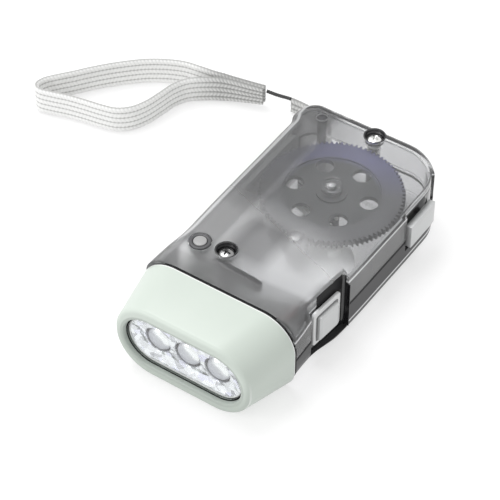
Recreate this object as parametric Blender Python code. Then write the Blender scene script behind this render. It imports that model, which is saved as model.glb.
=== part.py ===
"""Hand-squeezed dynamo torch with three LEDs and a woven wrist strap.

The torch lies on its bottom cover. +Z is up, the beam leaves towards -Y, the
squeeze lever is on the -X side, and the two sliders are on the +X side.
The origin is under the middle of the torch, on the surface that it lies on.
"""
import math

import bmesh
import bpy
from mathutils import Matrix, Vector

MM = 0.001

# Gear train, which sets how wide and how long the case is
gear_teeth = 88
rotor_teeth = 14
gear_module = 0.48 * MM
rotor_bearing = math.radians(-82.25)
gear_x = 2.2 * MM
side_room = 4.88 * MM
front_room = 13.05 * MM
rear_room = 7.87 * MM
flywheel_room = 4.12 * MM

# Case walls and heights
case_top = 24.9 * MM
seam_height = 11.6 * MM
wall = 1.6 * MM
fit_gap = 0.3 * MM
seam_gap = 0.2 * MM
overrun = 1.0 * MM

# Bezel at the front
bezel_depth = 18.4 * MM
bezel_rear_width = 51.4 * MM
bezel_rear_height = 26.0 * MM
bezel_rear_radius = 11.0 * MM
bezel_low_radius = 8.0 * MM
bezel_front_width = 45.4 * MM
bezel_front_height = 25.2 * MM
bezel_end_flat = 0.6 * MM
bezel_wall = 1.8 * MM
bezel_edge_radius = 2.0 * MM
lip_thickness = 2.2 * MM
opening_rim_side = 3.0 * MM
opening_rim_top = 3.9 * MM
bezel_front_radius = bezel_front_height / 2 - bezel_end_flat
opening_width = bezel_front_width - 2 * opening_rim_side
opening_height = bezel_front_height - 2 * opening_rim_top

# Places that follow from the gear train and the bezel
gear_pitch_radius = gear_module * gear_teeth / 2
rotor_pitch_radius = gear_module * rotor_teeth / 2
gear_distance = gear_pitch_radius + rotor_pitch_radius
flywheel_radius = gear_pitch_radius - flywheel_room
train_length = flywheel_radius + gear_pitch_radius - gear_distance * math.sin(rotor_bearing)
body_half_width = gear_pitch_radius + side_room
body_length = bezel_depth + fit_gap + front_room + train_length + rear_room
front_y = -body_length / 2
rear_y = body_length / 2
joint_y = front_y + bezel_depth
case_front_y = joint_y + fit_gap
side_wall_x = body_half_width
lamp_z = bezel_rear_height / 2
floor_top = wall
roof_low = case_top - wall
gear_y = rear_y - rear_room - gear_pitch_radius
rotor_x = gear_x + gear_distance * math.cos(rotor_bearing)
rotor_y = gear_y + gear_distance * math.sin(rotor_bearing)

# Case plan and edge shape
bottom_radius = 3.5 * MM
front_bottom_radius = 7.8 * MM
crease_angle = math.radians(10.0)
shoulder_width = 5.5 * MM
shoulder_drop = 4.9 * MM
front_shoulder_drop = 7.0 * MM
rear_shoulder_share = 0.6
rear_right_radius = 14.0 * MM
rear_left_radius = 7.0 * MM
least_corner_radius = 1.2 * MM
neck_wall = 1.4 * MM

# Lever and its pivot
pivot_inset = 10.3 * MM
pivot_back = 13.1 * MM
pin_radius = 1.5 * MM
pin_head_radius = 3.2 * MM
pin_head_depth = 3.2 * MM
pin_head_stand = 0.3 * MM
hub_radius = 4.0 * MM
lever_stand = 1.5 * MM
lever_depth = 7.5 * MM
lever_bottom = 5.2 * MM
lever_drop = 4.7 * MM
lever_front_room = 19.3 * MM
lever_rear_room = 12.6 * MM
lever_edge_radius = 2.6 * MM
lever_skin = 1.8 * MM
slot_reach = 7.0 * MM
pivot_x = pivot_inset - body_half_width
pivot_y = case_front_y + pivot_back
lever_face_x = -body_half_width - lever_stand
lever_inner_x = lever_face_x + lever_depth
lever_top = case_top - lever_drop
lever_front_y = case_front_y + lever_front_room
lever_rear_y = rear_y - lever_rear_room
slot_front_y = lever_front_y - slot_reach

# Gears' heights and the rack
gear_drop = 6.0 * MM
gear_thickness = 2.0 * MM
rack_full_teeth = 99
ratchet_teeth = 12
rack_thickness = 2.2 * MM
rack_web = 2.6 * MM
rack_drop = 4.5 * MM
axle_radius = 1.0 * MM
dome_radius = 2.6 * MM
dome_rise = 0.7 * MM
gear_bottom = case_top - gear_drop
rack_bottom = gear_bottom - rack_drop
rack_distance = math.hypot(gear_x - pivot_x, gear_y - pivot_y)
rack_module = 2 * rack_distance / (rack_full_teeth + ratchet_teeth)
rack_pitch_radius = rack_module * rack_full_teeth / 2
ratchet_pitch_radius = rack_module * ratchet_teeth / 2
rack_bearing = math.atan2(gear_y - pivot_y, gear_x - pivot_x)

# Flywheel, magnet and stator
flywheel_drop = 4.9 * MM
flywheel_disc = 2.2 * MM
flywheel_rim = 2.8 * MM
flywheel_low = 6.0 * MM
magnet_wall = 2.9 * MM
magnet_height = 6.6 * MM
air_gap = 0.2 * MM
stator_sheet = 0.6 * MM
stator_low = 2.2 * MM
claw_count = 6
claw_width = 4.0 * MM
flywheel_top = gear_bottom - flywheel_drop
stator_high = flywheel_top - flywheel_disc - 2 * fit_gap
stator_radius = flywheel_radius - flywheel_rim - fit_gap - magnet_wall - air_gap

# Lamp
led_radius = 2.5 * MM
led_pitch = 10.0 * MM
led_flange_radius = 2.9 * MM
led_flange = 1.0 * MM
led_length = 7.2 * MM
lens_thickness = 1.2 * MM
plate_thickness = 1.0 * MM
cup_mouth_radius = 4.6 * MM
cup_depth = 6.2 * MM
cup_wall = 0.7 * MM
board_thickness = 1.2 * MM

# Cells
cell_radius = 7.8 * MM
cell_height = 3.7 * MM
cell_x = -8.2 * MM
cell_rear_room = 16.8 * MM
cell_count = 3
cell_y = rear_y - cell_rear_room

# Screws
screw_head_radius = 2.5 * MM
screw_head_height = 1.5 * MM
screw_shank_radius = 1.0 * MM
well_radius = 3.0 * MM
well_wall = 1.0 * MM
well_depth = 2.6 * MM
well_floor = 1.0 * MM
pillar_share = 0.7
screw_from_pivot = (8.1 * MM, 1.4 * MM)
rear_screw_x = 1.8 * MM
rear_screw_room = 4.7 * MM
front_screw = (pivot_x + screw_from_pivot[0], pivot_y + screw_from_pivot[1])
rear_screw = (rear_screw_x, rear_y - rear_screw_room)

# Sliders on the right side
switch_back = 18.4 * MM
switch_turn = math.radians(-5.0)
switch_sink = 0.15 * MM
knob_length = 8.8 * MM
knob_height = 9.0 * MM
knob_low = 8.2 * MM
knob_plate_length = 12.2 * MM
knob_plate_low = 6.6 * MM
knob_plate_high = 19.4 * MM
knob_plate_thickness = 1.0 * MM
knob_block_depth = 1.3 * MM
knob_travel = 2.2 * MM
pocket_low = 3.0 * MM
pocket_corner = 1.0 * MM
pocket_front_room = 2.3 * MM
pocket_rear_room = 0.7 * MM
stem_low = 15.4 * MM
stem_height = 2.4 * MM
switch_height = 3.8 * MM
switch_length = 8.6 * MM
switch_depth = 3.6 * MM
lock_stand = 1.5 * MM
lock_low = 8.9 * MM
lock_high = 17.0 * MM
lock_length = 13.5 * MM
lock_rear_room = 11.6 * MM
lock_thickness = 2.1 * MM
lock_travel = 4.0 * MM
recess_depth = 1.1 * MM
recess_wall = 1.1 * MM
recess_low = 7.6 * MM
recess_room = 2.2 * MM
switch_face_x = body_half_width - switch_sink
switch_y = case_front_y + switch_back
pocket_front = -(knob_plate_length + knob_travel) / 2 - pocket_front_room
pocket_rear = (knob_plate_length + knob_travel) / 2 + pocket_rear_room
lock_face_x = body_half_width + lock_stand
lock_rear_y = rear_y - lock_rear_room
lock_front_y = lock_rear_y - lock_length
recess_rear_y = lock_rear_y + lock_travel + recess_room

# Strap
post_inset = 10.1 * MM
post_rear_room = 6.1 * MM
post_radius = 1.45 * MM
strap_width = 10.0 * MM
strap_thickness = 1.2 * MM
tab_width = 6.0 * MM
tab_height = 6.6 * MM
strap_end_share = 0.7
strap_taper_steps = 7
string_radius = 0.6 * MM
post_x = post_inset - body_half_width
post_y = rear_y - post_rear_room

# The case's plan: half widths at places along its length, as shares
station_share = (0.0, 0.05, 0.11, 0.165, 0.21, 0.27, 0.39, 0.54, 0.68, 0.82, 0.868, 0.905)
left_share = (0.970, 0.965, 0.950, 0.925, 0.912, 0.910, 0.915, 0.918, 0.920, 0.925, 0.930, 0.975)
right_share = (0.970, 0.962, 0.952, 0.950, 0.966, 0.988, 1.0, 1.004, 1.008, 1.008)
# How far the bottom edge and the shoulder have come from their front sizes to their own
edge_share = (0.0, 0.0, 0.15, 0.45, 0.72, 0.93, 1.0, 1.0, 1.0, 1.0, 1.0, 1.0)

arc_steps = 6
corner_steps = 6


def clear_scene():
    """Remove whatever the file holds."""
    for thing in list(bpy.data.objects):
        bpy.data.objects.remove(thing, do_unlink=True)


def finish(name, colour, roughness, metallic=0.0, alpha=1.0):
    """A plain Principled material."""
    made = bpy.data.materials.new(name)
    made.use_nodes = True
    shader = made.node_tree.nodes["Principled BSDF"]
    shader.inputs["Base Color"].default_value = (*colour, 1.0)
    shader.inputs["Roughness"].default_value = roughness
    shader.inputs["Metallic"].default_value = metallic
    shader.inputs["Alpha"].default_value = alpha
    made.diffuse_color = (*colour, alpha)
    return made


def place(name, shape, material, origin=(0, 0, 0), smooth=math.radians(35)):
    """Turn a bmesh in world places into an object with its own origin."""
    bmesh.ops.remove_doubles(shape, verts=shape.verts, dist=0.00001 * MM)
    bmesh.ops.recalc_face_normals(shape, faces=shape.faces)
    shift = Vector(origin)
    bmesh.ops.translate(shape, verts=shape.verts, vec=-shift)
    mesh = bpy.data.meshes.new(name)
    shape.to_mesh(mesh)
    shape.free()
    mesh.materials.append(material)
    mesh.shade_smooth()
    mesh.set_sharp_from_angle(angle=smooth)
    made = bpy.data.objects.new(name, mesh)
    made.location = shift
    bpy.context.scene.collection.objects.link(made)
    return made


def combine(target, shape, operation):
    """Cut, join or intersect an object with a bmesh in world places."""
    tool_mesh = bpy.data.meshes.new("tool")
    bmesh.ops.recalc_face_normals(shape, faces=shape.faces)
    shape.to_mesh(tool_mesh)
    shape.free()
    tool = bpy.data.objects.new("tool", tool_mesh)
    tool.hide_render = True
    tool.display_type = "WIRE"
    bpy.context.scene.collection.objects.link(tool)
    step = target.modifiers.new(operation.lower(), "BOOLEAN")
    step.operation = operation
    step.solver = "EXACT"
    step.object = tool
    view = bpy.context.evaluated_depsgraph_get()
    made = bpy.data.meshes.new_from_object(target.evaluated_get(view))
    target.modifiers.clear()
    old = target.data
    target.data = made
    bpy.data.meshes.remove(old)
    bpy.data.objects.remove(tool, do_unlink=True)


def cut(target, *shapes):
    for shape in shapes:
        combine(target, shape, "DIFFERENCE")


def join(target, *shapes):
    for shape in shapes:
        combine(target, shape, "UNION")


def loft(rings, closed=False):
    """Skin rings of points; the ends are capped unless the loft closes."""
    shape = bmesh.new()
    rows = [[shape.verts.new(point) for point in ring] for ring in rings]
    pairs = list(zip(rows, rows[1:]))
    if closed:
        pairs.append((rows[-1], rows[0]))
    for low, high in pairs:
        for here in range(len(low)):
            after = (here + 1) % len(low)
            shape.faces.new((low[here], low[after], high[after], high[here]))
    if not closed:
        shape.faces.new(list(reversed(rows[0])))
        shape.faces.new(rows[-1])
    bmesh.ops.recalc_face_normals(shape, faces=shape.faces)
    return shape


def prism(outline, low, high):
    """Extrude a plan outline upwards."""
    return loft([[(x, y, low) for x, y in outline], [(x, y, high) for x, y in outline]])


def front_prism(outline, near, far):
    """Extrude a front-view outline of x and z along y."""
    return loft([[(x, near, z) for x, z in outline], [(x, far, z) for x, z in outline]])


def box(low, high):
    """A box between two corners."""
    outline = ((low[0], low[1]), (high[0], low[1]), (high[0], high[1]), (low[0], high[1]))
    return prism(outline, low[2], high[2])


def turned(profile, x, y, steps):
    """Turn a closed profile of radius and height about an upright axis."""
    shape = bmesh.new()
    points = [shape.verts.new((radius, 0, height)) for radius, height in profile]
    edges = [shape.edges.new((a, b)) for a, b in zip(points, points[1:] + points[:1])]
    bmesh.ops.spin(shape, geom=points + edges, cent=(0, 0, 0), axis=(0, 0, 1),
                   angle=2 * math.pi, steps=steps, use_merge=True)
    bmesh.ops.remove_doubles(shape, verts=shape.verts, dist=0.0001 * MM)
    bmesh.ops.dissolve_degenerate(shape, edges=shape.edges, dist=0.0001 * MM)
    on_axis = [e for e in shape.edges if not e.link_faces]
    bmesh.ops.delete(shape, geom=on_axis, context="EDGES")
    bmesh.ops.recalc_face_normals(shape, faces=shape.faces)
    bmesh.ops.translate(shape, verts=shape.verts, vec=(x, y, 0))
    return shape


def turned_forward(profile, x, z, steps, phase=0.0):
    """Turn a closed profile of radius and y about an axis along y."""
    shape = turned(profile, 0, 0, steps)
    bmesh.ops.transform(shape, matrix=Matrix.Rotation(phase, 4, "Z"), verts=shape.verts)
    bmesh.ops.transform(shape, matrix=Matrix.Rotation(math.radians(-90), 4, "X"), verts=shape.verts)
    bmesh.ops.translate(shape, verts=shape.verts, vec=(x, 0, z))
    return shape


def disc(x, y, radius, low, high, steps=24):
    """An upright round bar."""
    return prism(circle(x, y, radius, steps), low, high)


def tube(x, y, outer, inner, low, high, steps=24):
    """An upright sleeve."""
    profile = ((inner, low), (outer, low), (outer, high), (inner, high))
    return turned(profile, x, y, steps)


def circle(x, y, radius, steps):
    turns = [2 * math.pi * (k + 0.5) / steps for k in range(steps)]
    return [(x + radius * math.cos(t), y + radius * math.sin(t)) for t in turns]


def arc(x, y, radius, start, end, steps):
    turns = [start + (end - start) * k / steps for k in range(steps + 1)]
    return [(x + radius * math.cos(t), y + radius * math.sin(t)) for t in turns]


def rounded_outline(width, height, radius, low_radius, x=0.0, y=0.0, steps=corner_steps):
    """A rounded rectangle about a centre, with radii for its upper and lower corners."""
    quarter = math.pi / 2
    corners = ((1, 1, radius), (-1, 1, radius), (-1, -1, low_radius), (1, -1, low_radius))
    points = []
    for turn, (side, rise, corner) in enumerate(corners):
        middle_x = x + side * (width / 2 - corner)
        middle_y = y + rise * (height / 2 - corner)
        points += arc(middle_x, middle_y, corner, turn * quarter, (turn + 1) * quarter, steps)
    return points


def bottom_inset(height, radius):
    """How far a rounded bottom edge of this radius draws the wall in."""
    if height >= radius:
        return 0.0
    return radius - math.sqrt(radius ** 2 - (radius - height) ** 2)


def shoulder_inset(depth, drop, thickness):
    """How far a shoulder of this drop draws the wall in at a depth under the roof."""
    rise = 1 - depth / (drop - thickness)
    if rise <= math.sin(crease_angle):
        return 0.0
    out = math.cos(crease_angle) - math.sqrt(max(0.0, 1 - rise ** 2))
    return (shoulder_width - thickness) * out


def case_outline(height, thickness, front):
    """The case's plan at one height, drawn in by its edges and a thickness."""
    length = rear_y - case_front_y
    above = height - thickness
    depth = case_top - thickness - height
    shoulder = shoulder_inset(depth, shoulder_drop, thickness)
    plain = bottom_inset(above, bottom_radius) + shoulder + thickness
    places = [case_front_y + share * length for share in station_share]
    insets = []
    for share in edge_share:
        radius = front_bottom_radius + (bottom_radius - front_bottom_radius) * share
        drop = front_shoulder_drop + (shoulder_drop - front_shoulder_drop) * share
        insets.append(bottom_inset(above, radius) + shoulder_inset(depth, drop, thickness) + thickness)
    right = [(side_wall_x * share - inset, y)
             for share, inset, y in zip(right_share, insets, places)]
    left = [(inset - side_wall_x * share, y)
            for share, inset, y in zip(left_share, insets, places)]
    right[0] = (right[0][0], front)
    left[0] = (left[0][0], front)
    right_radius = max(rear_right_radius - plain, least_corner_radius)
    left_radius = max(rear_left_radius - plain, least_corner_radius)
    right_x = side_wall_x * right_share[-1] - plain
    left_x = plain - side_wall_x * left_share[-1]
    end = rear_y - plain + shoulder * (1 - rear_shoulder_share)
    quarter = math.pi / 2
    points = right + arc(right_x - right_radius, end - right_radius, right_radius, 0, quarter,
                         arc_steps)
    points += arc(left_x + left_radius, end - left_radius, left_radius, quarter, 2 * quarter,
                  arc_steps)
    return points + list(reversed(left))


def case_heights(thickness):
    """Heights of the case's rings from the bottom face to the top face."""
    heights = []
    half = arc_steps // 2
    for k in range(half + 1):
        heights.append(bottom_radius * (1 - math.cos(math.pi / 2 * k / half)))
    heights.append((bottom_radius + front_bottom_radius) / 2)
    heights.append(front_bottom_radius)
    low = [thickness + height for height in heights]
    high = []
    for k in range(arc_steps + 1):
        turn = crease_angle + (math.pi / 2 - crease_angle) * k / arc_steps
        drop = (front_shoulder_drop - thickness) * (1 - math.sin(turn))
        high.append(case_top - thickness - drop)
    crease = (shoulder_drop - thickness) * (1 - math.sin(crease_angle))
    high.append(case_top - thickness - crease)
    return low + sorted(high)


def case_solid(thickness=0.0, front=case_front_y):
    """The whole case, or its inner space when a wall thickness is given."""
    rings = []
    for height in case_heights(thickness):
        rings.append([(x, y, height) for x, y in case_outline(height, thickness, front)])
    return loft(rings)


def section_ring(width, height, radius, low_radius, y):
    """A rounded rectangle across the torch at one place along it."""
    return [(x, y, lamp_z + z) for x, z in rounded_outline(width, height, radius, low_radius)]


def involute(base, radius):
    angle = math.acos(min(1.0, base / radius))
    return math.tan(angle) - angle


def tooth_side(teeth, module, steps):
    """Radius and half angle of one tooth flank, from its root to its tip."""
    pressure = math.radians(20)
    addendum_share = 0.75
    dedendum_share = 1.25
    slack_share = 0.16
    pitch = module * teeth / 2
    base = pitch * math.cos(pressure)
    tip = pitch + addendum_share * module
    root = pitch - dedendum_share * module
    half = math.pi / (2 * teeth) * (1 - slack_share)
    low = max(root, base)
    side = []
    for k in range(steps + 1):
        radius = low + (tip - low) * k / steps
        side.append((radius, half + involute(base, pitch) - involute(base, radius)))
    if root < low:
        side.insert(0, (root, side[0][1]))
    return side


def gear_outline(teeth, module, x, y, phase, steps):
    """A spur gear's outline with a tooth centred at the phase angle."""
    side = tooth_side(teeth, module, steps)
    points = []
    for tooth in range(teeth):
        centre = phase + 2 * math.pi * tooth / teeth
        for radius, half in side:
            points.append((x + radius * math.cos(centre - half), y + radius * math.sin(centre - half)))
        for radius, half in reversed(side):
            points.append((x + radius * math.cos(centre + half), y + radius * math.sin(centre + half)))
    return points


def smoke():
    return finish("smoke_plastic", (0.24, 0.25, 0.26), 0.12, alpha=0.5)


def pale():
    return finish("pale_plastic", (0.72, 0.78, 0.71), 0.45)


def silver():
    return finish("silver_plastic", (0.72, 0.73, 0.74), 0.3, metallic=0.3)


def steel():
    return finish("steel", (0.7, 0.7, 0.7), 0.25, metallic=1.0)


def bezel_inside(y, gap):
    """Width, height and corner radii of the room inside the bezel."""
    share = (joint_y - y) / (bezel_depth - lip_thickness)
    less = 2 * (bezel_wall + gap)
    width = bezel_rear_width + (bezel_front_width - bezel_rear_width) * share - less
    height = bezel_rear_height + (bezel_front_height - bezel_rear_height) * share - less
    radius = bezel_rear_radius + (bezel_front_radius - bezel_rear_radius) * share - less / 2
    low_radius = bezel_low_radius + (bezel_front_radius - bezel_low_radius) * share - less / 2
    return width, height, radius, low_radius


def build_bezel():
    """Front cap: one skin from its rear rim over the face and back inside."""
    face_rear = front_y + lip_thickness
    edge_y = front_y + bezel_edge_radius
    rings = [section_ring(bezel_rear_width, bezel_rear_height, bezel_rear_radius,
                          bezel_low_radius, joint_y)]
    for k in range(arc_steps // 2 + 1):
        turn = math.pi / 2 * k / (arc_steps // 2)
        inset = bezel_edge_radius * (1 - math.cos(turn))
        y = edge_y - bezel_edge_radius * math.sin(turn)
        rings.append(section_ring(bezel_front_width - 2 * inset, bezel_front_height - 2 * inset,
                                  bezel_front_radius - inset, bezel_front_radius - inset, y))
    mouth = (opening_width, opening_height, opening_height / 2, opening_height / 2)
    inner_radius = bezel_front_radius - bezel_wall
    rings.append(section_ring(*mouth, front_y))
    rings.append(section_ring(*mouth, face_rear))
    rings.append(section_ring(bezel_front_width - 2 * bezel_wall, bezel_front_height - 2 * bezel_wall,
                              inner_radius, inner_radius, face_rear))
    rings.append(section_ring(bezel_rear_width - 2 * bezel_wall, bezel_rear_height - 2 * bezel_wall,
                              bezel_rear_radius - bezel_wall, bezel_low_radius - bezel_wall, joint_y))
    place("bezel", loft(rings, closed=True), pale())


def build_lamp():
    """Lens, reflector, LEDs and their board, one behind the other."""
    lens_front = front_y + lip_thickness + fit_gap
    lens_rear = lens_front + lens_thickness
    plate_front = lens_rear + fit_gap
    plate_rear = plate_front + plate_thickness
    plate = rounded_outline(*bezel_inside(front_y + lip_thickness, fit_gap), y=lamp_z)
    clear = finish("clear_plastic", (0.95, 0.96, 0.97), 0.03, alpha=0.15)
    place("lens", front_prism(plate, lens_front, lens_rear), clear)
    chrome = finish("chromed_plastic", (0.9, 0.9, 0.92), 0.08, metallic=1.0)
    reflector = place("reflector", front_prism(plate, plate_front, plate_rear), chrome)
    cup_rear = plate_front + cup_depth
    hole = led_radius + fit_gap
    cup_steps = 4
    inner = []
    for row in range(cup_steps + 1):
        share = row / cup_steps
        radius = hole + (cup_mouth_radius - hole) * math.sqrt(1 - share)
        inner.append((radius, plate_front + (cup_depth - cup_wall) * share))
    outer = [(radius + cup_wall, y) for radius, y in inner[1:]]
    outer.insert(0, (cup_mouth_radius + cup_wall / 2, plate_rear - plate_thickness / 2))
    outer.append((hole + cup_wall, cup_rear))
    places = (-led_pitch, 0, led_pitch)
    for place_x in places:
        body = [(0, outer[0][1]), *outer, (0, cup_rear)]
        join(reflector, turned_forward(body, place_x, lamp_z, 20))
    for place_x in places:
        front = [(0, plate_front - overrun), (cup_mouth_radius, plate_front - overrun)]
        back = [(hole, cup_rear + overrun), (0, cup_rear + overrun)]
        bore = front + inner + back
        cut(reflector, turned_forward(bore, place_x, lamp_z, 20, phase=math.pi / 20))
    board_front = plate_front + cup_depth + led_flange + 2 * fit_gap
    board_rear = board_front + board_thickness
    led_rear = board_front - fit_gap
    glow = finish("led_epoxy", (0.93, 0.94, 0.9), 0.06, alpha=0.6)
    tip_y = led_rear - led_length
    dome_y = tip_y + led_radius
    dome_steps = 4
    dome = []
    for k in range(dome_steps + 1):
        turn = math.pi / 2 * k / dome_steps
        dome.append((led_radius * math.sin(turn), dome_y - led_radius * math.cos(turn)))
    body = [*dome, (led_radius, led_rear - led_flange), (led_flange_radius, led_rear - led_flange),
            (led_flange_radius, led_rear), (0, led_rear)]
    for number, place_x in enumerate(places, start=1):
        place(f"led_{number}", turned_forward(body, place_x, lamp_z, 16), glow)
    board = rounded_outline(*bezel_inside(board_front, fit_gap), y=lamp_z)
    green = finish("circuit_board", (0.12, 0.32, 0.18), 0.5)
    place("led_board", front_prism(board, board_front, board_rear), green)
    return board_rear


def pivot_well():
    """Sleeve under the roof that holds the head of the pivot pin."""
    return pin_head_radius + fit_gap + well_wall


def taken(thing):
    """An object's mesh as a bmesh; the object goes."""
    shape = bmesh.new()
    shape.from_mesh(thing.data)
    bpy.data.objects.remove(thing, do_unlink=True)
    return shape


def trimmed(shape):
    """Only what of a shape lies within the middle of the case's skin."""
    piece = place("piece", shape, smoke())
    combine(piece, case_solid(wall / 2), "INTERSECT")
    return taken(piece)


def case_shell(board_rear):
    """Case skin with its front neck, still in one piece."""
    shell = place("case", case_solid(), smoke())
    neck_front = board_rear + fit_gap
    neck_rear = case_front_y + wall
    tip = bezel_inside(neck_front, fit_gap)
    root = bezel_inside(joint_y, fit_gap)
    neck = [section_ring(*tip, neck_front), section_ring(*root, joint_y),
            section_ring(*root, neck_rear - wall / 2)]
    tip = bezel_inside(neck_front, fit_gap + neck_wall)
    root = bezel_inside(joint_y, fit_gap + neck_wall)
    inside = [section_ring(*tip, neck_front - overrun), section_ring(*root, joint_y),
              section_ring(*root, neck_rear + overrun)]
    join(shell, loft(neck))
    space = place("space", case_solid(wall, case_front_y + wall), smoke())
    cut(space, pocket_block(), recess_block())
    cut(shell, taken(space))
    cut(shell, loft(inside))
    return shell


def half_of(shell, name, low, high):
    """Keep the part of the shell between two heights."""
    reach = body_length
    half = bpy.data.objects.new(name, shell.data.copy())
    bpy.context.scene.collection.objects.link(half)
    combine(half, box((-reach, -reach, low), (reach, reach, high)), "INTERSECT")
    return half


def turned_box(x, y, turn, low, high):
    """A box about a turned local frame at a plan point."""
    shape = box(low, high)
    bmesh.ops.rotate(shape, verts=shape.verts, cent=(0, 0, 0), matrix=Matrix.Rotation(turn, 3, "Z"))
    bmesh.ops.translate(shape, verts=shape.verts, vec=(x, y, 0))
    return shape


def pocket_floor():
    """The pocket's floor, measured from the switch's face."""
    return -knob_block_depth - knob_plate_thickness - fit_gap


def pocket_cutter():
    """Notch for the switch knob, open to the side and the top."""
    floor = pocket_floor()
    front = pocket_front
    rear = pocket_rear
    reach = 2 * wall
    quarter = math.pi / 2
    outline = [(reach, front), (reach, rear)]
    outline += arc(floor + pocket_corner, rear - pocket_corner, pocket_corner, quarter,
                   2 * quarter, arc_steps // 2)
    outline += [(floor, front + pocket_corner / 2), (floor + pocket_corner / 2, front)]
    shape = prism(outline, pocket_low, case_top + overrun)
    turn_and_move(shape)
    return shape


def turn_and_move(shape):
    """From the switch's own frame to the torch's."""
    bmesh.ops.rotate(shape, verts=shape.verts, cent=(0, 0, 0),
                     matrix=Matrix.Rotation(switch_turn, 3, "Z"))
    bmesh.ops.translate(shape, verts=shape.verts, vec=(switch_face_x, switch_y, 0))
    bmesh.ops.recalc_face_normals(shape, faces=shape.faces)


def pocket_block():
    """What stays solid behind the pocket, so that its floor is walled."""
    low = (pocket_floor() - wall, pocket_front - wall, -overrun)
    shape = box(low, (2 * wall, pocket_rear + wall, case_top))
    turn_and_move(shape)
    return shape


def window_cutter():
    """Opening in the pocket's floor that the knob's stem passes through."""
    half_long = knob_length / 8 + fit_gap
    reach = pocket_floor() - 2 * wall
    shape = box((reach, -knob_travel / 2 - half_long, stem_low - fit_gap),
                (0, knob_travel / 2 + half_long, stem_low + stem_height + fit_gap))
    turn_and_move(shape)
    return shape


def offset_band(face, depth, front, rear, low, high):
    """A band that follows the case's right side, from a depth to a face."""
    centre_x = side_wall_x * right_share[-1] - rear_right_radius
    centre_y = rear_y - rear_right_radius
    outer = rear_right_radius + face
    inner = outer - depth
    turn = math.asin(min(1.0, max(0.0, (rear - centre_y) / rear_right_radius)))
    outside = [(centre_x + outer, front)] + arc(centre_x, centre_y, outer, 0, turn, arc_steps)
    inside = [(centre_x + inner, front)] + arc(centre_x, centre_y, inner, 0, turn, arc_steps)
    return prism(outside + list(reversed(inside)), low, high)


def recess_cutter():
    """Notch for the lock slider, open to the side and the top."""
    return offset_band(2 * overrun, 2 * overrun + recess_depth, lock_front_y - fit_gap,
                       recess_rear_y, recess_low, case_top + overrun)


def recess_block():
    """What stays solid behind the lock's recess."""
    return offset_band(overrun, overrun + recess_depth + recess_wall, lock_front_y - fit_gap - wall,
                       recess_rear_y + wall, recess_low - wall, case_top)


def lock_window():
    """Opening behind the lock slider for its stem."""
    middle = (lock_low + lock_high) / 2
    half_high = (lock_high - lock_low) / 5
    front = lock_front_y + lock_travel
    return box((side_wall_x - 3 * wall, front - fit_gap, middle - half_high - fit_gap),
               (side_wall_x + overrun, front + 2 * lock_travel + fit_gap,
                middle + half_high + fit_gap))


def slot_cutter():
    """Long opening on the left side that the lever closes."""
    reach = body_length
    return box((-reach, slot_front_y, lever_bottom - fit_gap),
               (lever_inner_x + fit_gap, lever_rear_y + 2 * fit_gap, lever_top + fit_gap))


def axle_dome(x, y):
    """Small dome over an axle on the roof, with a blind bore under it."""
    steps = 4
    cap = []
    for k in range(steps + 1):
        turn = math.pi / 2 * k / steps
        cap.append((dome_radius * math.sin(turn), case_top + dome_rise * math.cos(turn)))
    low = roof_low - dome_rise
    return turned([*cap, (dome_radius, low), (0, low)], x, y, 20)


def build_top_cover(shell):
    """Roof, side walls down to the seam, wells, bosses and ribs."""
    reach = body_length
    cover = half_of(shell, "top_cover", seam_height + seam_gap / 2, reach)
    well_low = case_top - well_depth - well_floor
    for x, y in (front_screw, rear_screw):
        join(cover, trimmed(disc(x, y, well_radius + well_wall, well_low, case_top)))
    pivot_low = case_top - pin_head_depth - wall - fit_gap
    join(cover, trimmed(disc(pivot_x, pivot_y, pivot_well(), pivot_low, case_top)))
    post_low = (seam_height + case_top) / 2
    socket = post_radius + fit_gap + well_wall
    join(cover, trimmed(disc(post_x, post_y, socket, post_low, case_top, 16)))
    for x, y in ((gear_x, gear_y), (rotor_x, rotor_y)):
        join(cover, axle_dome(x, y))
    join(cover, rotor_rib(), bulkhead_rib())
    for x, y in (front_screw, rear_screw):
        cut(cover, disc(x, y, well_radius, case_top - well_depth, reach))
        cut(cover, disc(x, y, screw_shank_radius + fit_gap, seam_height, case_top, 12))
    cut(cover, disc(pivot_x, pivot_y, pin_head_radius + fit_gap, case_top - pin_head_depth - fit_gap,
                    reach))
    cut(cover, disc(pivot_x, pivot_y, pin_radius + fit_gap, seam_height, case_top, 16))
    cut(cover, disc(post_x, post_y, post_radius + fit_gap, seam_height, reach, 16))
    for x, y in ((gear_x, gear_y), (rotor_x, rotor_y)):
        cut(cover, disc(x, y, axle_radius + fit_gap, seam_height, case_top - wall / 2, 12))
    cut(cover, pocket_cutter(), window_cutter(), recess_cutter(), lock_window(), slot_cutter())
    return cover


def rotor_rib():
    """Curved rib under the roof, round the front left of the flywheel."""
    start = math.radians(170)
    end = math.radians(222)
    thickness = 1.0 * MM
    depth = 3.6 * MM
    outer = arc(rotor_x, rotor_y, flywheel_radius + thickness + fit_gap, start, end, 10)
    inner = arc(rotor_x, rotor_y, flywheel_radius + fit_gap, start, end, 10)
    return prism(outer + list(reversed(inner)), roof_low - depth, roof_low + wall / 2)


def bulkhead_rib():
    """Straight rib under the roof in front of the screw, thick in its middle."""
    rib_back = 9.7 * MM
    rib_y = case_front_y + rib_back
    half_length = 8.0 * MM
    half_middle = 0.8 * MM
    half_end = 0.3 * MM
    depth = 3.0 * MM
    outline = ((-half_length, rib_y - half_end), (0, rib_y - half_middle),
               (half_length, rib_y - half_end), (half_length, rib_y + half_end),
               (0, rib_y + half_middle), (-half_length, rib_y + half_end))
    return prism(outline, roof_low - depth, roof_low + wall / 2)


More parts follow.
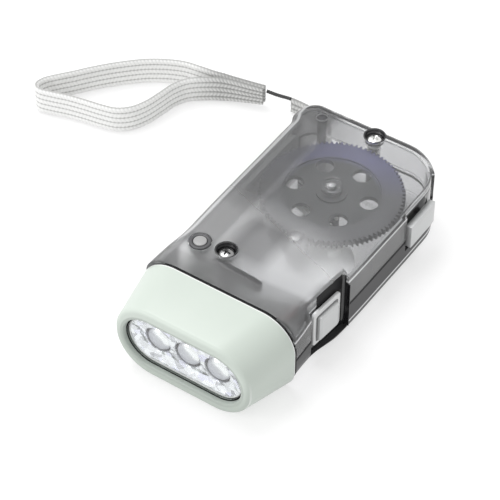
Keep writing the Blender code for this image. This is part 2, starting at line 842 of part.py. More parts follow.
def build_bottom_cover(shell):
    """Floor, side walls up to the seam, pillars and axle bosses."""
    reach = body_length
    cover = half_of(shell, "bottom_cover", -reach, seam_height - seam_gap / 2)
    pillar_radius = screw_shank_radius + fit_gap + well_wall * pillar_share
    pillar_high = case_top - well_depth - well_floor - fit_gap
    boss_radius = axle_radius + 2 * fit_gap + well_wall
    boss_high = stator_low + 2 * stator_sheet
    socket = post_radius + fit_gap + well_wall
    for x, y in (front_screw, rear_screw):
        join(cover, trimmed(disc(x, y, pillar_radius, 0, pillar_high, 16)))
    join(cover, trimmed(disc(gear_x, gear_y, boss_radius, 0, rack_bottom - 2 * fit_gap, 16)))
    join(cover, trimmed(disc(rotor_x, rotor_y, boss_radius, 0, boss_high, 16)))
    join(cover, trimmed(disc(pivot_x, pivot_y, boss_radius + pin_radius, 0, boss_high, 16)))
    join(cover, trimmed(disc(post_x, post_y, socket, 0, boss_high, 16)))
    for x, y in (front_screw, rear_screw):
        cut(cover, disc(x, y, screw_shank_radius + fit_gap, floor_top, reach, 12))
    for x, y in ((gear_x, gear_y), (rotor_x, rotor_y)):
        cut(cover, disc(x, y, axle_radius + fit_gap, floor_top, reach, 12))
    cut(cover, disc(pivot_x, pivot_y, pin_radius + fit_gap, floor_top, reach, 16))
    cut(cover, disc(post_x, post_y, post_radius + fit_gap, floor_top, reach, 16))
    cut(cover, pocket_cutter(), window_cutter(), recess_cutter(), lock_window(), slot_cutter())
    cut(cover, strap_gate())
    return cover


def strap_gate():
    """Notch in the rear wall that the strap's tab leaves through."""
    side = post_radius + strap_thickness + 3 * fit_gap
    return box((post_x - side, rear_y - 2 * wall, tab_height - tab_width / 2 - 2 * fit_gap),
               (post_x + side, rear_y + overrun, seam_height + overrun))


def build_case(board_rear):
    shell = case_shell(board_rear)
    build_top_cover(shell)
    build_bottom_cover(shell)
    bpy.data.objects.remove(shell, do_unlink=True)


def rack_outline():
    """Curved rack: teeth on its outer side, on an arc about the pivot."""
    side = tooth_side(rack_full_teeth, rack_module, 1)
    pitch = 2 * math.pi / rack_full_teeth
    root = side[0][0]
    points = []
    first_tooth = -7
    last_tooth = 1
    for tooth in range(first_tooth, last_tooth + 1):
        centre = rack_bearing + tooth * pitch
        for radius, half in side:
            points.append((centre - half, radius))
        for radius, half in reversed(side):
            points.append((centre + half, radius))
    start = rack_bearing + (first_tooth - 0.5) * pitch
    end = math.pi / 2 + math.asin((pivot_x - lever_face_x - lever_skin / 2) / root)
    inner = root - rack_web
    plain_steps = 6
    after = points[-1][0]
    for k in range(1, plain_steps + 1):
        points.append((after + (end - after) * k / plain_steps, root))
    back_steps = 14
    for k in range(back_steps + 1):
        points.append((end + (start - end) * k / back_steps, inner))
    points.append((start, root))
    return [(pivot_x + r * math.cos(a), pivot_y + r * math.sin(a)) for a, r in points]


def handle_outline(inset=0.0):
    """Plan of the lever's handle, from its front tip round its outer face."""
    face = lever_face_x + inset
    inner = lever_inner_x
    rear = lever_rear_y - inset
    swell = lever_inner_x - lever_face_x
    length = lever_rear_y - lever_front_y
    out_share = (0.56, 0.78, 0.89, 0.96, 1.0, 1.0, 0.97, 0.86, 0.62)
    along_share = (0.0, 0.09, 0.18, 0.32, 0.5, 0.86, 0.93, 0.975, 1.0)
    points = [(inner, lever_front_y + inset)]
    for out, along in zip(out_share, along_share):
        x = inner - swell * out + inset
        y = lever_front_y + length * along
        points.append((min(x, inner), min(max(y, lever_front_y + inset), rear)))
    points.append((inner, rear))
    return points


def build_lever():
    """Handle, hub and curved rack in one moulding."""
    rings = []
    steps = 3
    for k in range(steps + 1):
        turn = math.pi / 2 * k / steps
        inset = lever_edge_radius * (1 - math.sin(turn))
        rings.append((inset, lever_bottom + lever_edge_radius * (1 - math.cos(turn))))
    for k in range(steps + 1):
        turn = math.pi / 2 * (1 - k / steps)
        inset = lever_edge_radius * (1 - math.sin(turn))
        rings.append((inset, lever_top - lever_edge_radius * (1 - math.cos(turn))))
    skin = [[(x, y, z) for x, y in handle_outline(inset)] for inset, z in rings]
    lever = place("squeeze_lever", loft(skin), pale(), (pivot_x, pivot_y, 0))
    low = lever_bottom + lever_skin
    high = lever_top - lever_skin
    middle_x = (lever_face_x + lever_inner_x) / 2
    hollow = [(lever_inner_x + overrun, lever_front_y + 3 * lever_skin),
              (lever_inner_x + overrun, lever_rear_y - 2 * lever_skin),
              (middle_x - lever_skin, lever_rear_y - 2 * lever_skin),
              (middle_x - lever_skin, lever_front_y + 7 * lever_skin),
              (middle_x + lever_skin, lever_front_y + 3 * lever_skin)]
    cut(lever, prism(hollow, low, high))
    arm_low = lever_bottom + 2 * lever_skin
    arm_high = case_top - pin_head_depth - wall - 5 * fit_gap
    near_share = 0.3
    far_share = 0.9
    arm = [(pivot_x, pivot_y), (pivot_x + hub_radius * near_share, pivot_y + hub_radius * far_share),
           (lever_inner_x - lever_skin, lever_front_y + 5 * lever_skin),
           (lever_inner_x - 2 * lever_skin, lever_front_y + lever_skin / 2),
           (pivot_x - hub_radius * far_share, pivot_y + hub_radius * near_share)]
    join(lever, prism(arm, arm_low, arm_high))
    join(lever, disc(pivot_x, pivot_y, hub_radius, arm_low, arm_high, 20))
    join(lever, prism(rack_outline(), rack_bottom, rack_bottom + rack_thickness))
    cut(lever, disc(pivot_x, pivot_y, pin_radius + fit_gap, 0, case_top, 16))
    return arm_low


def build_pivot(arm_low):
    """Pivot pin with its pale head, and the torsion spring under the hub."""
    head_high = case_top + pin_head_stand
    head_low = case_top - pin_head_depth
    edge = fit_gap
    profile = [(0, floor_top + fit_gap), (pin_radius, floor_top + fit_gap), (pin_radius, head_low),
               (pin_head_radius, head_low), (pin_head_radius, head_high - edge),
               (pin_head_radius - edge, head_high), (0, head_high)]
    place("lever_pivot_pin", turned(profile, pivot_x, pivot_y, 24), pale())
    boss_high = stator_low + 2 * stator_sheet
    coil_low = boss_high + fit_gap
    coil_high = arm_low - fit_gap
    turn_count = 5
    turn_steps = 14
    coil_radius = (hub_radius + pin_radius) / 2
    thread_radius = 0.35 * MM
    route = []
    for k in range(turn_count * turn_steps + 1):
        turn = 2 * math.pi * k / turn_steps
        rise = thread_radius + (coil_high - coil_low - 2 * thread_radius) * k / (turn_count * turn_steps)
        route.append(((pivot_x + coil_radius * math.cos(turn)) / MM,
                      (pivot_y + coil_radius * math.sin(turn)) / MM, (coil_low + rise) / MM))
    round_cord("lever_spring", route, turn_count * turn_steps + 1, thread_radius, steel())


def build_gears():
    """Drive gear, ratchet pinion with its pawl, and the two axles."""
    high = gear_bottom + gear_thickness
    bore = axle_radius + fit_gap
    dark = finish("dark_gear_plastic", (0.10, 0.10, 0.13), 0.4)
    outline = gear_outline(gear_teeth, gear_module, gear_x, gear_y, rotor_bearing, 1)
    gear = place("drive_gear", prism(outline, gear_bottom, high), dark, (gear_x, gear_y, 0))
    rim_width = 6.52 * MM
    hub = 4.6 * MM
    step = 0.6 * MM
    window_radius = 2.8 * MM
    window_room = 3.0 * MM
    window_count = 6
    window_phase = math.radians(12)
    rim_inner = gear_pitch_radius - rim_width
    window_ring = rim_inner - window_room
    cut(gear, tube(gear_x, gear_y, rim_inner, hub, high - step, high + overrun, 40))
    for k in range(window_count):
        turn = 2 * math.pi * k / window_count + window_phase
        x = gear_x + window_ring * math.cos(turn)
        y = gear_y + window_ring * math.sin(turn)
        cut(gear, disc(x, y, window_radius, 0, case_top, 16))
    join(gear, disc(gear_x, gear_y, hub - wall, high - step, roof_low - dome_rise - fit_gap, 20))
    cut(gear, disc(gear_x, gear_y, bore, 0, case_top, 16))
    white = finish("white_nylon", (0.85, 0.85, 0.83), 0.5)
    ratchet_low = gear_bottom - fit_gap - wall
    phase = rack_bearing + math.pi + math.pi / ratchet_teeth
    small = gear_outline(ratchet_teeth, rack_module, gear_x, gear_y, phase, 2)
    low = rack_bottom - fit_gap
    pinion = place("ratchet_pinion", prism(small, low, rack_bottom + rack_thickness + fit_gap), white,
                   (gear_x, gear_y, 0))
    saw_teeth = 8
    saw_stand = 1.1 * MM
    saw_depth = 1.0 * MM
    saw_tip = ratchet_pitch_radius + saw_stand
    saw_root = saw_tip - saw_depth
    saw = []
    for k in range(saw_teeth):
        turn = 2 * math.pi * k / saw_teeth
        saw.append((gear_x + saw_root * math.cos(turn), gear_y + saw_root * math.sin(turn)))
        saw.append((gear_x + saw_tip * math.cos(turn), gear_y + saw_tip * math.sin(turn)))
    join(pinion, prism(saw, ratchet_low, gear_bottom - fit_gap))
    neck_low = rack_bottom + rack_thickness + fit_gap / 2
    join(pinion, disc(gear_x, gear_y, saw_root - 2 * fit_gap, neck_low, ratchet_low + fit_gap, 16))
    cut(pinion, disc(gear_x, gear_y, bore, 0, case_top, 16))
    pawl_inner = saw_tip + fit_gap
    pawl_outer = pawl_inner + fit_gap * 4
    ends = (math.radians(20), math.radians(250))
    outer = arc(gear_x, gear_y, pawl_outer, *ends, 16)
    inner = arc(gear_x, gear_y, pawl_inner, *ends, 16)
    place("ratchet_pawl", prism(outer + list(reversed(inner)), ratchet_low, gear_bottom - fit_gap),
          steel(), (gear_x, gear_y, 0))
    axle_low = floor_top + fit_gap
    axle_high = case_top - wall / 2 - fit_gap
    place("gear_axle", disc(gear_x, gear_y, axle_radius, axle_low, axle_high, 16), steel())
    place("flywheel_axle", disc(rotor_x, rotor_y, axle_radius, axle_low, axle_high, 16), steel())


def build_rotor():
    """Flywheel with its pinion, and the magnet ring inside its skirt."""
    bore = axle_radius + fit_gap
    hub = 2.2 * MM
    disc_low = flywheel_top - flywheel_disc
    skirt = flywheel_radius - flywheel_rim
    milky = finish("milky_plastic", (0.86, 0.87, 0.86), 0.4)
    profile = [(hub, disc_low), (skirt, disc_low), (skirt, flywheel_low), (flywheel_radius, flywheel_low),
               (flywheel_radius, flywheel_top), (hub, flywheel_top)]
    origin = (rotor_x, rotor_y, 0)
    wheel = place("flywheel", turned(profile, rotor_x, rotor_y, 40), milky, origin)
    pinion_low = gear_bottom - 2 * fit_gap
    pinion_high = gear_bottom + gear_thickness + fit_gap
    join(wheel, disc(rotor_x, rotor_y, hub + fit_gap, disc_low, pinion_low + fit_gap, 16))
    phase = rotor_bearing + math.pi + math.pi / rotor_teeth
    small = gear_outline(rotor_teeth, gear_module, rotor_x, rotor_y, phase, 2)
    join(wheel, prism(small, pinion_low, pinion_high))
    cut(wheel, disc(rotor_x, rotor_y, bore, 0, case_top, 16))
    magnet_outer = skirt - fit_gap
    magnet_top = disc_low - fit_gap
    black = finish("ferrite", (0.06, 0.06, 0.065), 0.55)
    place("ring_magnet", tube(rotor_x, rotor_y, magnet_outer, magnet_outer - magnet_wall,
                              magnet_top - magnet_height, magnet_top, 32), black, origin)


def build_stator():
    """Two claw plates, the spool between them and its winding."""
    collar = axle_radius + 2 * fit_gap + well_wall + fit_gap
    tin = finish("tinned_sheet", (0.6, 0.6, 0.6), 0.35, metallic=1.0)
    claw_low = stator_low + stator_sheet
    claw_high = stator_high - stator_sheet
    claw_end = wall
    for name, low, high, turn in (("stator_lower", stator_low, claw_low, 0),
                                  ("stator_upper", claw_high, stator_high, math.pi / claw_count)):
        plate = place(name, tube(rotor_x, rotor_y, stator_radius, collar, low, high, 36), tin)
        tip_low, tip_high = (low, claw_high - claw_end) if low < claw_high else (claw_low + claw_end, high)
        for k in range(claw_count):
            angle = turn + 2 * math.pi * k / claw_count
            join(plate, turned_box(rotor_x, rotor_y, angle,
                                   (stator_radius - 2 * stator_sheet, -claw_width / 2, tip_low),
                                   (stator_radius - stator_sheet / 2, claw_width / 2, tip_high)))
    spool_radius = stator_radius - 2 * stator_sheet - fit_gap
    low = claw_low + fit_gap
    high = claw_high - fit_gap
    core = collar + wall
    flange = wall / 2
    profile = [(collar, low), (spool_radius, low), (spool_radius, low + flange), (core, low + flange),
               (core, high - flange), (spool_radius, high - flange), (spool_radius, high),
               (collar, high)]
    nylon = finish("spool_nylon", (0.8, 0.78, 0.7), 0.5)
    place("coil_bobbin", turned(profile, rotor_x, rotor_y, 28), nylon)
    copper = finish("copper_winding", (0.72, 0.36, 0.18), 0.35, metallic=0.8)
    place("coil_winding", tube(rotor_x, rotor_y, spool_radius - fit_gap, core + fit_gap,
                               low + flange + fit_gap, high - flange - fit_gap, 28), copper)


def build_cells():
    """Three button cells in a stack, each with a stepped rim."""
    bright = finish("cell_steel", (0.75, 0.75, 0.76), 0.25, metallic=1.0)
    rim = 0.8 * MM
    step = 0.4 * MM
    for number in range(cell_count):
        low = floor_top + fit_gap + number * (cell_height + fit_gap)
        high = low + cell_height
        profile = [(0, low), (cell_radius - rim, low), (cell_radius, low + step),
                   (cell_radius, high - step), (cell_radius - rim, high - step),
                   (cell_radius - 2 * rim, high), (0, high)]
        place(f"battery_cell_{number + 1}", turned(profile, cell_x, cell_y, 24), bright)


def build_screws():
    """Two self-tapping screws at the bottom of the roof's wells."""
    seat = case_top - well_depth + fit_gap
    high = seat + screw_head_height
    edge = screw_head_height / 4
    low = floor_top + fit_gap
    slot_share = 0.3
    arm_share = 0.7
    slot = screw_head_radius * slot_share
    for name, (x, y) in (("screw_front", front_screw), ("screw_rear", rear_screw)):
        profile = [(0, low), (screw_shank_radius, low), (screw_shank_radius, seat),
                   (screw_head_radius, seat), (screw_head_radius, high - edge),
                   (screw_head_radius - edge, high), (0, high)]
        screw = place(name, turned(profile, x, y, 20), steel())
        arm = screw_head_radius * arm_share
        depth = high - screw_head_height / 2
        cut(screw, box((x - arm, y - slot / 2, depth), (x + arm, y + slot / 2, high + overrun)))
        cut(screw, box((x - slot / 2, y - arm, depth), (x + slot / 2, y + arm, high + overrun)))


def build_switch():
    """Stepped knob in its pocket and the switch behind it."""
    plate_out = -knob_block_depth
    plate_in = plate_out - knob_plate_thickness
    middle = knob_low + knob_height / 2
    shift = -knob_travel / 2
    plate = rounded_outline(knob_plate_length, knob_plate_high - knob_plate_low, wall, wall,
                            x=shift, y=(knob_plate_high + knob_plate_low) / 2, steps=2)
    block = rounded_outline(knob_length, knob_height, wall / 2, wall / 2, x=shift, y=middle,
                            steps=2)
    top = rounded_outline(knob_length - wall, knob_height - wall, wall / 4, wall / 4, x=shift,
                          y=middle, steps=2)
    shape = loft([[(plate_in, y, z) for y, z in plate], [(plate_out, y, z) for y, z in plate]])
    turn_and_move(shape)
    knob = place("switch_knob", shape, silver())
    edge = knob_block_depth / 3
    raised = loft([[(plate_out - knob_plate_thickness / 2, y, z) for y, z in block],
                   [(-edge, y, z) for y, z in block], [(0, y, z) for y, z in top]])
    turn_and_move(raised)
    join(knob, raised)
    stem_in = pocket_floor() - wall - fit_gap
    half_stem = knob_length / 8
    stem = box((stem_in, shift - half_stem, stem_low),
               (plate_out - knob_plate_thickness / 2, shift + half_stem, stem_low + stem_height))
    turn_and_move(stem)
    join(knob, stem)
    body_out = stem_in - fit_gap
    body_middle = stem_low + stem_height / 2
    body = box((body_out - switch_depth, -switch_length / 2, body_middle - switch_height / 2),
               (body_out, switch_length / 2, body_middle + switch_height / 2))
    turn_and_move(body)
    place("slide_switch", body, steel())


def build_lock():
    """Tab that follows the rear right corner, with its stem and catch."""
    face = lock_face_x - side_wall_x * right_share[-1]
    shape = offset_band(face, lock_thickness, lock_front_y, lock_rear_y, lock_low, lock_high)
    tab = place("lock_slider", shape, silver())
    middle = (lock_low + lock_high) / 2
    half_high = (lock_high - lock_low) / 5
    front = lock_front_y + lock_travel
    stem_in = side_wall_x - 2 * wall - recess_depth - fit_gap
    join(tab, box((stem_in, front, middle - half_high),
                  (lock_face_x - lock_thickness / 2, front + lock_travel, middle + half_high)))
    join(tab, box((stem_in - wall, front - wall, middle - half_high),
                  (stem_in + wall / 2, front + lock_travel + wall, middle + half_high)))


def build_strap():
    """Post in the corner, woven tab, string and the looped band."""
    place("strap_post", disc(post_x, post_y, post_radius, floor_top + fit_gap,
                             case_top - 2 * fit_gap, 16), steel())
    white = finish("white_webbing", (0.86, 0.86, 0.85), 0.9)
    dark = finish("dark_string", (0.16, 0.16, 0.16), 0.8)
    place("strap_tab", band(smooth_route(TAB_ROUTE, 26), tab_width, strap_thickness), white)
    loop = band(smooth_route(STRAP_ROUTE, 78), strap_width, strap_thickness, strap_end_share)
    place("wrist_strap", loop, white)
    round_cord("strap_string", STRING_ROUTE, 8, string_radius, dark)


# Routes of the strap's pieces, at the middle of their width
TAB_ROUTE = [(-13.5, 46.8, 6.6), (-13.5, 44.9, 6.6), (-14.2, 43.2, 6.6), (-15.9, 42.5, 6.6),
             (-17.6, 43.2, 6.6), (-18.3, 44.9, 6.6), (-18.3, 48.0, 6.6), (-18.5, 51.5, 6.5),
             (-19.4, 55.5, 6.0), (-22.0, 59.5, 5.2), (-26.4, 62.4, 4.4),
             (-31.5, 64.1, 3.7), (-36.0, 64.8, 3.3), (-39.6, 64.8, 3.3)]
STRING_ROUTE = [(-39.9, 64.8, 5.5), (-41.5, 64.8, 5.3), (-43.6, 64.4, 5.3), (-45.8, 63.7, 5.7),
                (-47.9, 62.8, 6.5)]
STRAP_ROUTE = [(-48.4, 62.6, 5.3), (-51.8, 61.5, 5.3), (-56.0, 60.2, 5.3), (-60.5, 58.9, 5.3),
               (-65.0, 57.9, 5.3), (-70.0, 57.3, 5.3), (-75.5, 56.4, 5.3), (-81.0, 54.0, 5.3),
               (-86.6, 50.3, 5.3), (-91.2, 46.0, 5.3), (-95.6, 41.2, 5.3), (-99.4, 36.4, 5.3),
               (-102.6, 32.0, 5.3), (-105.6, 28.2, 5.3), (-108.0, 24.6, 5.3), (-108.4, 21.4, 5.3),
               (-106.2, 19.9, 5.3), (-102.0, 20.8, 5.3), (-96.6, 22.4, 5.3), (-90.8, 23.6, 5.3),
               (-85.0, 24.6, 5.3), (-80.2, 26.0, 5.3), (-76.6, 29.2, 5.3), (-74.4, 34.0, 5.3),
               (-73.2, 39.8, 5.3), (-72.2, 45.4, 5.3), (-70.0, 50.0, 5.3), (-65.9, 53.7, 5.3),
               (-61.6, 56.5, 5.3), (-57.0, 58.35, 5.3), (-52.4, 59.75, 5.3), (-48.2, 61.1, 5.3)]


def smooth_route(route, count):
    """Points at even steps on a smooth curve through a route in millimetres."""
    knots = [Vector(point) * MM for point in route]
    knots = [2 * knots[0] - knots[1], *knots, 2 * knots[-1] - knots[-2]]
    fine = []
    steps = 12
    for a, b, c, d in zip(knots, knots[1:], knots[2:], knots[3:]):
        for k in range(steps):
            t = k / steps
            fine.append(0.5 * (2 * b + (c - a) * t + (2 * a - 5 * b + 4 * c - d) * t ** 2
                               + (3 * b - a - 3 * c + d) * t ** 3))
    fine.append(knots[-2])
    lengths = [0.0]
    for near, far in zip(fine, fine[1:]):
        lengths.append(lengths[-1] + (far - near).length)
    points = []
    index = 0
    for k in range(count):
        goal = lengths[-1] * k / (count - 1)
        while index < len(lengths) - 2 and lengths[index + 1] < goal:
            index += 1
        span = lengths[index + 1] - lengths[index]
        points.append(fine[index].lerp(fine[index + 1], (goal - lengths[index]) / span))
    return points


def band(points, width, thickness, end_share=1.0):
    """A flat band on its edge along a route, narrower by a share at its ends."""
    rings = []
    last = len(points) - 1
    for here, point in enumerate(points):
        before = points[max(here - 1, 0)]
        after = points[min(here + 1, last)]
        along = (after - before).normalized()
        side = along.cross(Vector((0, 0, 1))).normalized() * thickness / 2
        open_share = min(1.0, min(here, last - here) / strap_taper_steps)
        rise = Vector((0, 0, width / 2)) * (end_share + (1 - end_share) * open_share)
        rings.append([point - side - rise, point + side - rise, point + side + rise,
                      point - side + rise])
    return loft(rings)


RED_ROUTE = [(12.0, -37.5, 13.0), (12.2, -34.0, 13.0), (13.4, -30.0, 14.2), (15.2, -26.5, 16.0),
             (16.8, -23.4, 16.6), (17.6, -18.2, 16.6)]
BLACK_ROUTE = [(-9.0, -37.5, 8.0), (-9.2, -33.0, 7.8), (-10.2, -28.0, 5.0), (-10.75, -23.0, 2.9),
               (-10.8, -17.5, 2.6), (-10.2, -8.0, 2.6), (-9.4, 4.0, 2.6), (-8.8, 15.0, 2.7),
               (-8.4, 22.0, 3.4), (-8.2, 26.0, 3.8)]


def round_cord(name, route, count, radius, material):
    """A round cord along a route, with flat ends."""
    line = bpy.data.curves.new(name, "CURVE")
    line.dimensions = "3D"
    line.bevel_depth = radius
    line.bevel_resolution = 2
    line.use_fill_caps = True
    run = line.splines.new("POLY")
    points = smooth_route(route, count)
    run.points.add(len(points) - 1)
    for dot, point in zip(run.points, points):
        dot.co = (*point, 1)
    line.materials.append(material)
    thread = bpy.data.objects.new(name, line)
    bpy.context.scene.collection.objects.link(thread)


def build_wires():
    """Leads from the LED board to the switch and to the cells."""
    wire_radius = 0.5 * MM
    round_cord("wire_red", RED_ROUTE, 14, wire_radius, finish("red_wire", (0.6, 0.06, 0.05), 0.5))
    round_cord("wire_black", BLACK_ROUTE, 30, wire_radius,
               finish("black_wire", (0.03, 0.03, 0.03), 0.5))


clear_scene()
rear_of_board = build_lamp()
build_bezel()
build_case(rear_of_board)
hub_low = build_lever()
build_pivot(hub_low)
build_gears()
build_rotor()
build_stator()
build_cells()
build_screws()
build_switch()
build_lock()
build_strap()
build_wires()
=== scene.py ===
"""Looks of a hand-squeezed dynamo torch with three LEDs and a woven wrist strap.

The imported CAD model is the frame. +Z is up, the beam leaves towards -Y, the squeeze
lever is on the -X side and the two sliders are on the +X side. Shapes are written in
millimetres and become metres when a piece is placed.
"""
import math

import bmesh
import bpy
from mathutils import Matrix, Vector, noise


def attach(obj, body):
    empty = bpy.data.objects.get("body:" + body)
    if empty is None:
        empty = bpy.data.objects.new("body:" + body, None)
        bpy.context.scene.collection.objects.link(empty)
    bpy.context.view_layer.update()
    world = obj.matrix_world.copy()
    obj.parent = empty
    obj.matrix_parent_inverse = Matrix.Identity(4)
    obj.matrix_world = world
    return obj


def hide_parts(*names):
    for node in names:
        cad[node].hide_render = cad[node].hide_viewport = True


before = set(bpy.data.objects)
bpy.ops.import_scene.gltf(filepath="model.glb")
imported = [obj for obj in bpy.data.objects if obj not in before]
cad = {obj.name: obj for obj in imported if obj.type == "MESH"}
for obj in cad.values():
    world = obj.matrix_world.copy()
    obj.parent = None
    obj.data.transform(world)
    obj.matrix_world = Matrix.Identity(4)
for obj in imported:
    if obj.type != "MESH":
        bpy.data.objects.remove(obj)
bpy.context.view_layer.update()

MM = 0.001
TAU = 2 * math.pi
QUARTER = math.pi / 2
same_place = 0.0005  # points nearer than this are merged, in millimetres

# Gear train, in millimetres
gear_teeth, rotor_teeth, gear_module = 88, 14, 0.48
gear_centre = Vector((2.2, 22.008))
rotor_bearing = math.radians(-82.25)
gear_radius = gear_module * gear_teeth / 2
rotor_pinion_radius = gear_module * rotor_teeth / 2
rotor_centre = gear_centre + (gear_radius + rotor_pinion_radius) * Vector(
    (math.cos(rotor_bearing), math.sin(rotor_bearing)))
pivot = Vector((-15.7, -19.198))
rack_full_teeth, ratchet_teeth = 99, 12
rack_distance = (gear_centre - pivot).length
rack_module = 2 * rack_distance / (rack_full_teeth + ratchet_teeth)
rack_bearing = math.atan2(gear_centre.y - pivot.y, gear_centre.x - pivot.x)

# Case
wall, gap, over, seam_half = 1.6, 0.3, 1.0, 0.48
case_top, seam = 24.9, 11.6
roof_low = case_top - wall
half_width, rear_y, case_front_y = 26.0, 50.998, -32.298
front_y, joint_y, lamp_z, led_pitch = -50.998, -32.598, 13.0, 10.0
bottom_radius, front_bottom_radius = 3.5, 7.8
crease_angle = math.radians(10)
shoulder_width, shoulder_drop, front_shoulder_drop, rear_shoulder_share = 5.5, 4.9, 7.0, 0.6
rear_right_radius, rear_left_radius = 14.0, 7.0
station_share = (0.0, 0.05, 0.11, 0.165, 0.21, 0.27, 0.39, 0.54, 0.68, 0.82, 0.868, 0.905)
left_share = (0.970, 0.965, 0.950, 0.925, 0.912, 0.910, 0.915, 0.918, 0.920, 0.925, 0.930, 0.975)
right_share = (0.970, 0.962, 0.952, 0.950, 0.966, 0.988, 1.0, 1.004, 1.008, 1.008)
edge_share = (0.0, 0.0, 0.15, 0.45, 0.72, 0.93, 1.0, 1.0, 1.0, 1.0, 1.0, 1.0)

# Bezel sections: width, height and corner radius at the rear and at the front
bezel_rear = (51.4, 26.0, 11.0, 8.0)
bezel_front = (45.4, 25.2, 12.0, 12.0)
mouth = (39.4, 17.4, 8.7, 8.7)
bezel_wall, bezel_edge, lip, neck_wall, lens_wall = 1.8, 1.5, 2.2, 1.4, 1.2

# Wells, posts and pins
front_screw, rear_screw = Vector((-7.6, -17.798)), Vector((1.8, 46.298))
post = Vector((-15.9, 44.898))
well_radius, well_depth, well_wall, well_floor = 3.0, 2.6, 1.0, 1.0
pin_head_radius, pin_well_depth = 3.2, 3.5
pin_radius, axle_radius, post_radius = 1.5, 1.0, 1.45
pin_bore, axle_bore, post_bore = pin_radius + gap, axle_radius + gap, post_radius + gap
pin_low, axle_high, post_high = 1.9, 23.8, 24.3

# Lever
lever_face_x, lever_inner_x = -27.5, -20.0
lever_low, lever_high = 5.2, 20.2
lever_front, lever_rear = -12.998, 38.398

# Sliders on the right side
switch_face, switch_y = 25.85, -13.898
switch_turn = math.radians(-5)
pocket_floor, pocket_front, pocket_rear = -2.6, -9.5, 7.9
lock_front, lock_rear, lock_low, lock_high = 25.898, 39.398, 8.9, 17.0
lock_face = 27.5
recess_low, recess_rear, recess_depth = 7.6, lock_rear + 6.2, 1.1
stem_front = lock_front + 4.0
stem_middle, stem_half = (lock_low + lock_high) / 2, (lock_high - lock_low) / 5
shade_sheet_face, shade_sheet_wall = -1.04, 0.06


# ---------------------------------------------------------------- shapes

def smooth_through(points, steps):
    """A smooth line through points, with a number of steps between two of them."""
    knots = [Vector(p) for p in points]
    knots = [2 * knots[0] - knots[1], *knots, 2 * knots[-1] - knots[-2]]
    line = []
    for a, b, c, d in zip(knots, knots[1:], knots[2:], knots[3:]):
        for k in range(steps):
            t = k / steps
            line.append(0.5 * (2 * b + (c - a) * t + (2 * a - 5 * b + 4 * c - d) * t * t
                               + (3 * b - a - 3 * c + d) * t ** 3))
    return line + [knots[-2]]


def even_steps(line, count):
    """Points at even distances along a line."""
    lengths = [0.0]
    for near, far in zip(line, line[1:]):
        lengths.append(lengths[-1] + (far - near).length)
    points, index = [], 0
    for k in range(count):
        goal = lengths[-1] * k / (count - 1)
        while index < len(lengths) - 2 and lengths[index + 1] < goal:
            index += 1
        span = lengths[index + 1] - lengths[index]
        points.append(line[index].lerp(line[index + 1], (goal - lengths[index]) / span))
    return points


def arc(centre, radius, start, end, steps):
    """Points of an arc in plan, both ends included."""
    turns = [start + (end - start) * k / steps for k in range(steps + 1)]
    return [(centre[0] + radius * math.cos(t), centre[1] + radius * math.sin(t)) for t in turns]


def rounded(width, height, radius, centre=(0, 0), steps=10, low=None):
    """A rounded rectangle, one arc at each corner; the lower ones may have their own radius."""
    low = low or radius
    points = []
    corners = (1, 1, radius), (-1, 1, radius), (-1, -1, low), (1, -1, low)
    for turn, (x, y, r) in enumerate(corners):
        points += arc((centre[0] + x * (width / 2 - r), centre[1] + y * (height / 2 - r)), r,
                      turn * QUARTER, (turn + 1) * QUARTER, steps)
    return points


def ring_of(shape, points):
    """A closed ring of vertices and edges."""
    verts = [shape.verts.new(p) for p in points]
    return [shape.edges.new((a, b)) for a, b in zip(verts, verts[1:] + verts[:1])]


def skin(rings, closed=False):
    """Bridge rings of points; the end rings are capped unless the skin closes."""
    shape = bmesh.new()
    loops = [ring_of(shape, ring) for ring in rings]
    pairs = list(zip(loops, loops[1:])) + ([(loops[-1], loops[0])] if closed else [])
    for low, high in pairs:
        bmesh.ops.bridge_loops(shape, edges=low + high)
    if not closed:
        for loop in (loops[0], loops[-1]):
            bmesh.ops.contextual_create(shape, geom=loop)
    bmesh.ops.recalc_face_normals(shape, faces=shape.faces)
    return shape


def prism(outline, low, high):
    """A plan outline extruded upwards."""
    return skin([[(x, y, low) for x, y in outline], [(x, y, high) for x, y in outline]])


def forward_prism(outline, near, far):
    """A front-view outline of x and z, extruded along y."""
    return skin([[(x, near, z) for x, z in outline], [(x, far, z) for x, z in outline]])


def box(low, high):
    """A block between two corners."""
    shape = bmesh.new()
    bmesh.ops.create_cube(shape, size=1)
    size = [h - l for l, h in zip(low, high)]
    middle = [(h + l) / 2 for l, h in zip(low, high)]
    bmesh.ops.scale(shape, verts=shape.verts, vec=size)
    bmesh.ops.translate(shape, verts=shape.verts, vec=middle)
    return shape


def bar(centre, radius, low, high, steps=48):
    """An upright round bar."""
    turns = [TAU * (k + 0.5) / steps for k in range(steps)]
    return prism([(centre[0] + radius * math.cos(t), centre[1] + radius * math.sin(t))
                  for t in turns], low, high)


def turned(profile, centre, steps=64):
    """Spin a closed line of radius and height about an upright axis."""
    shape = bmesh.new()
    edges = ring_of(shape, [(r, 0, h) for r, h in profile])
    bmesh.ops.spin(shape, geom=[*shape.verts, *edges], cent=(0, 0, 0), axis=(0, 0, 1), angle=TAU,
                   steps=steps, use_merge=True)
    bmesh.ops.remove_doubles(shape, verts=shape.verts, dist=same_place)
    bmesh.ops.dissolve_degenerate(shape, edges=shape.edges, dist=same_place)
    loose = [e for e in shape.edges if not e.link_faces]
    bmesh.ops.delete(shape, geom=loose, context="EDGES")
    bmesh.ops.recalc_face_normals(shape, faces=shape.faces)
    bmesh.ops.translate(shape, verts=shape.verts, vec=(*centre, 0))
    return shape


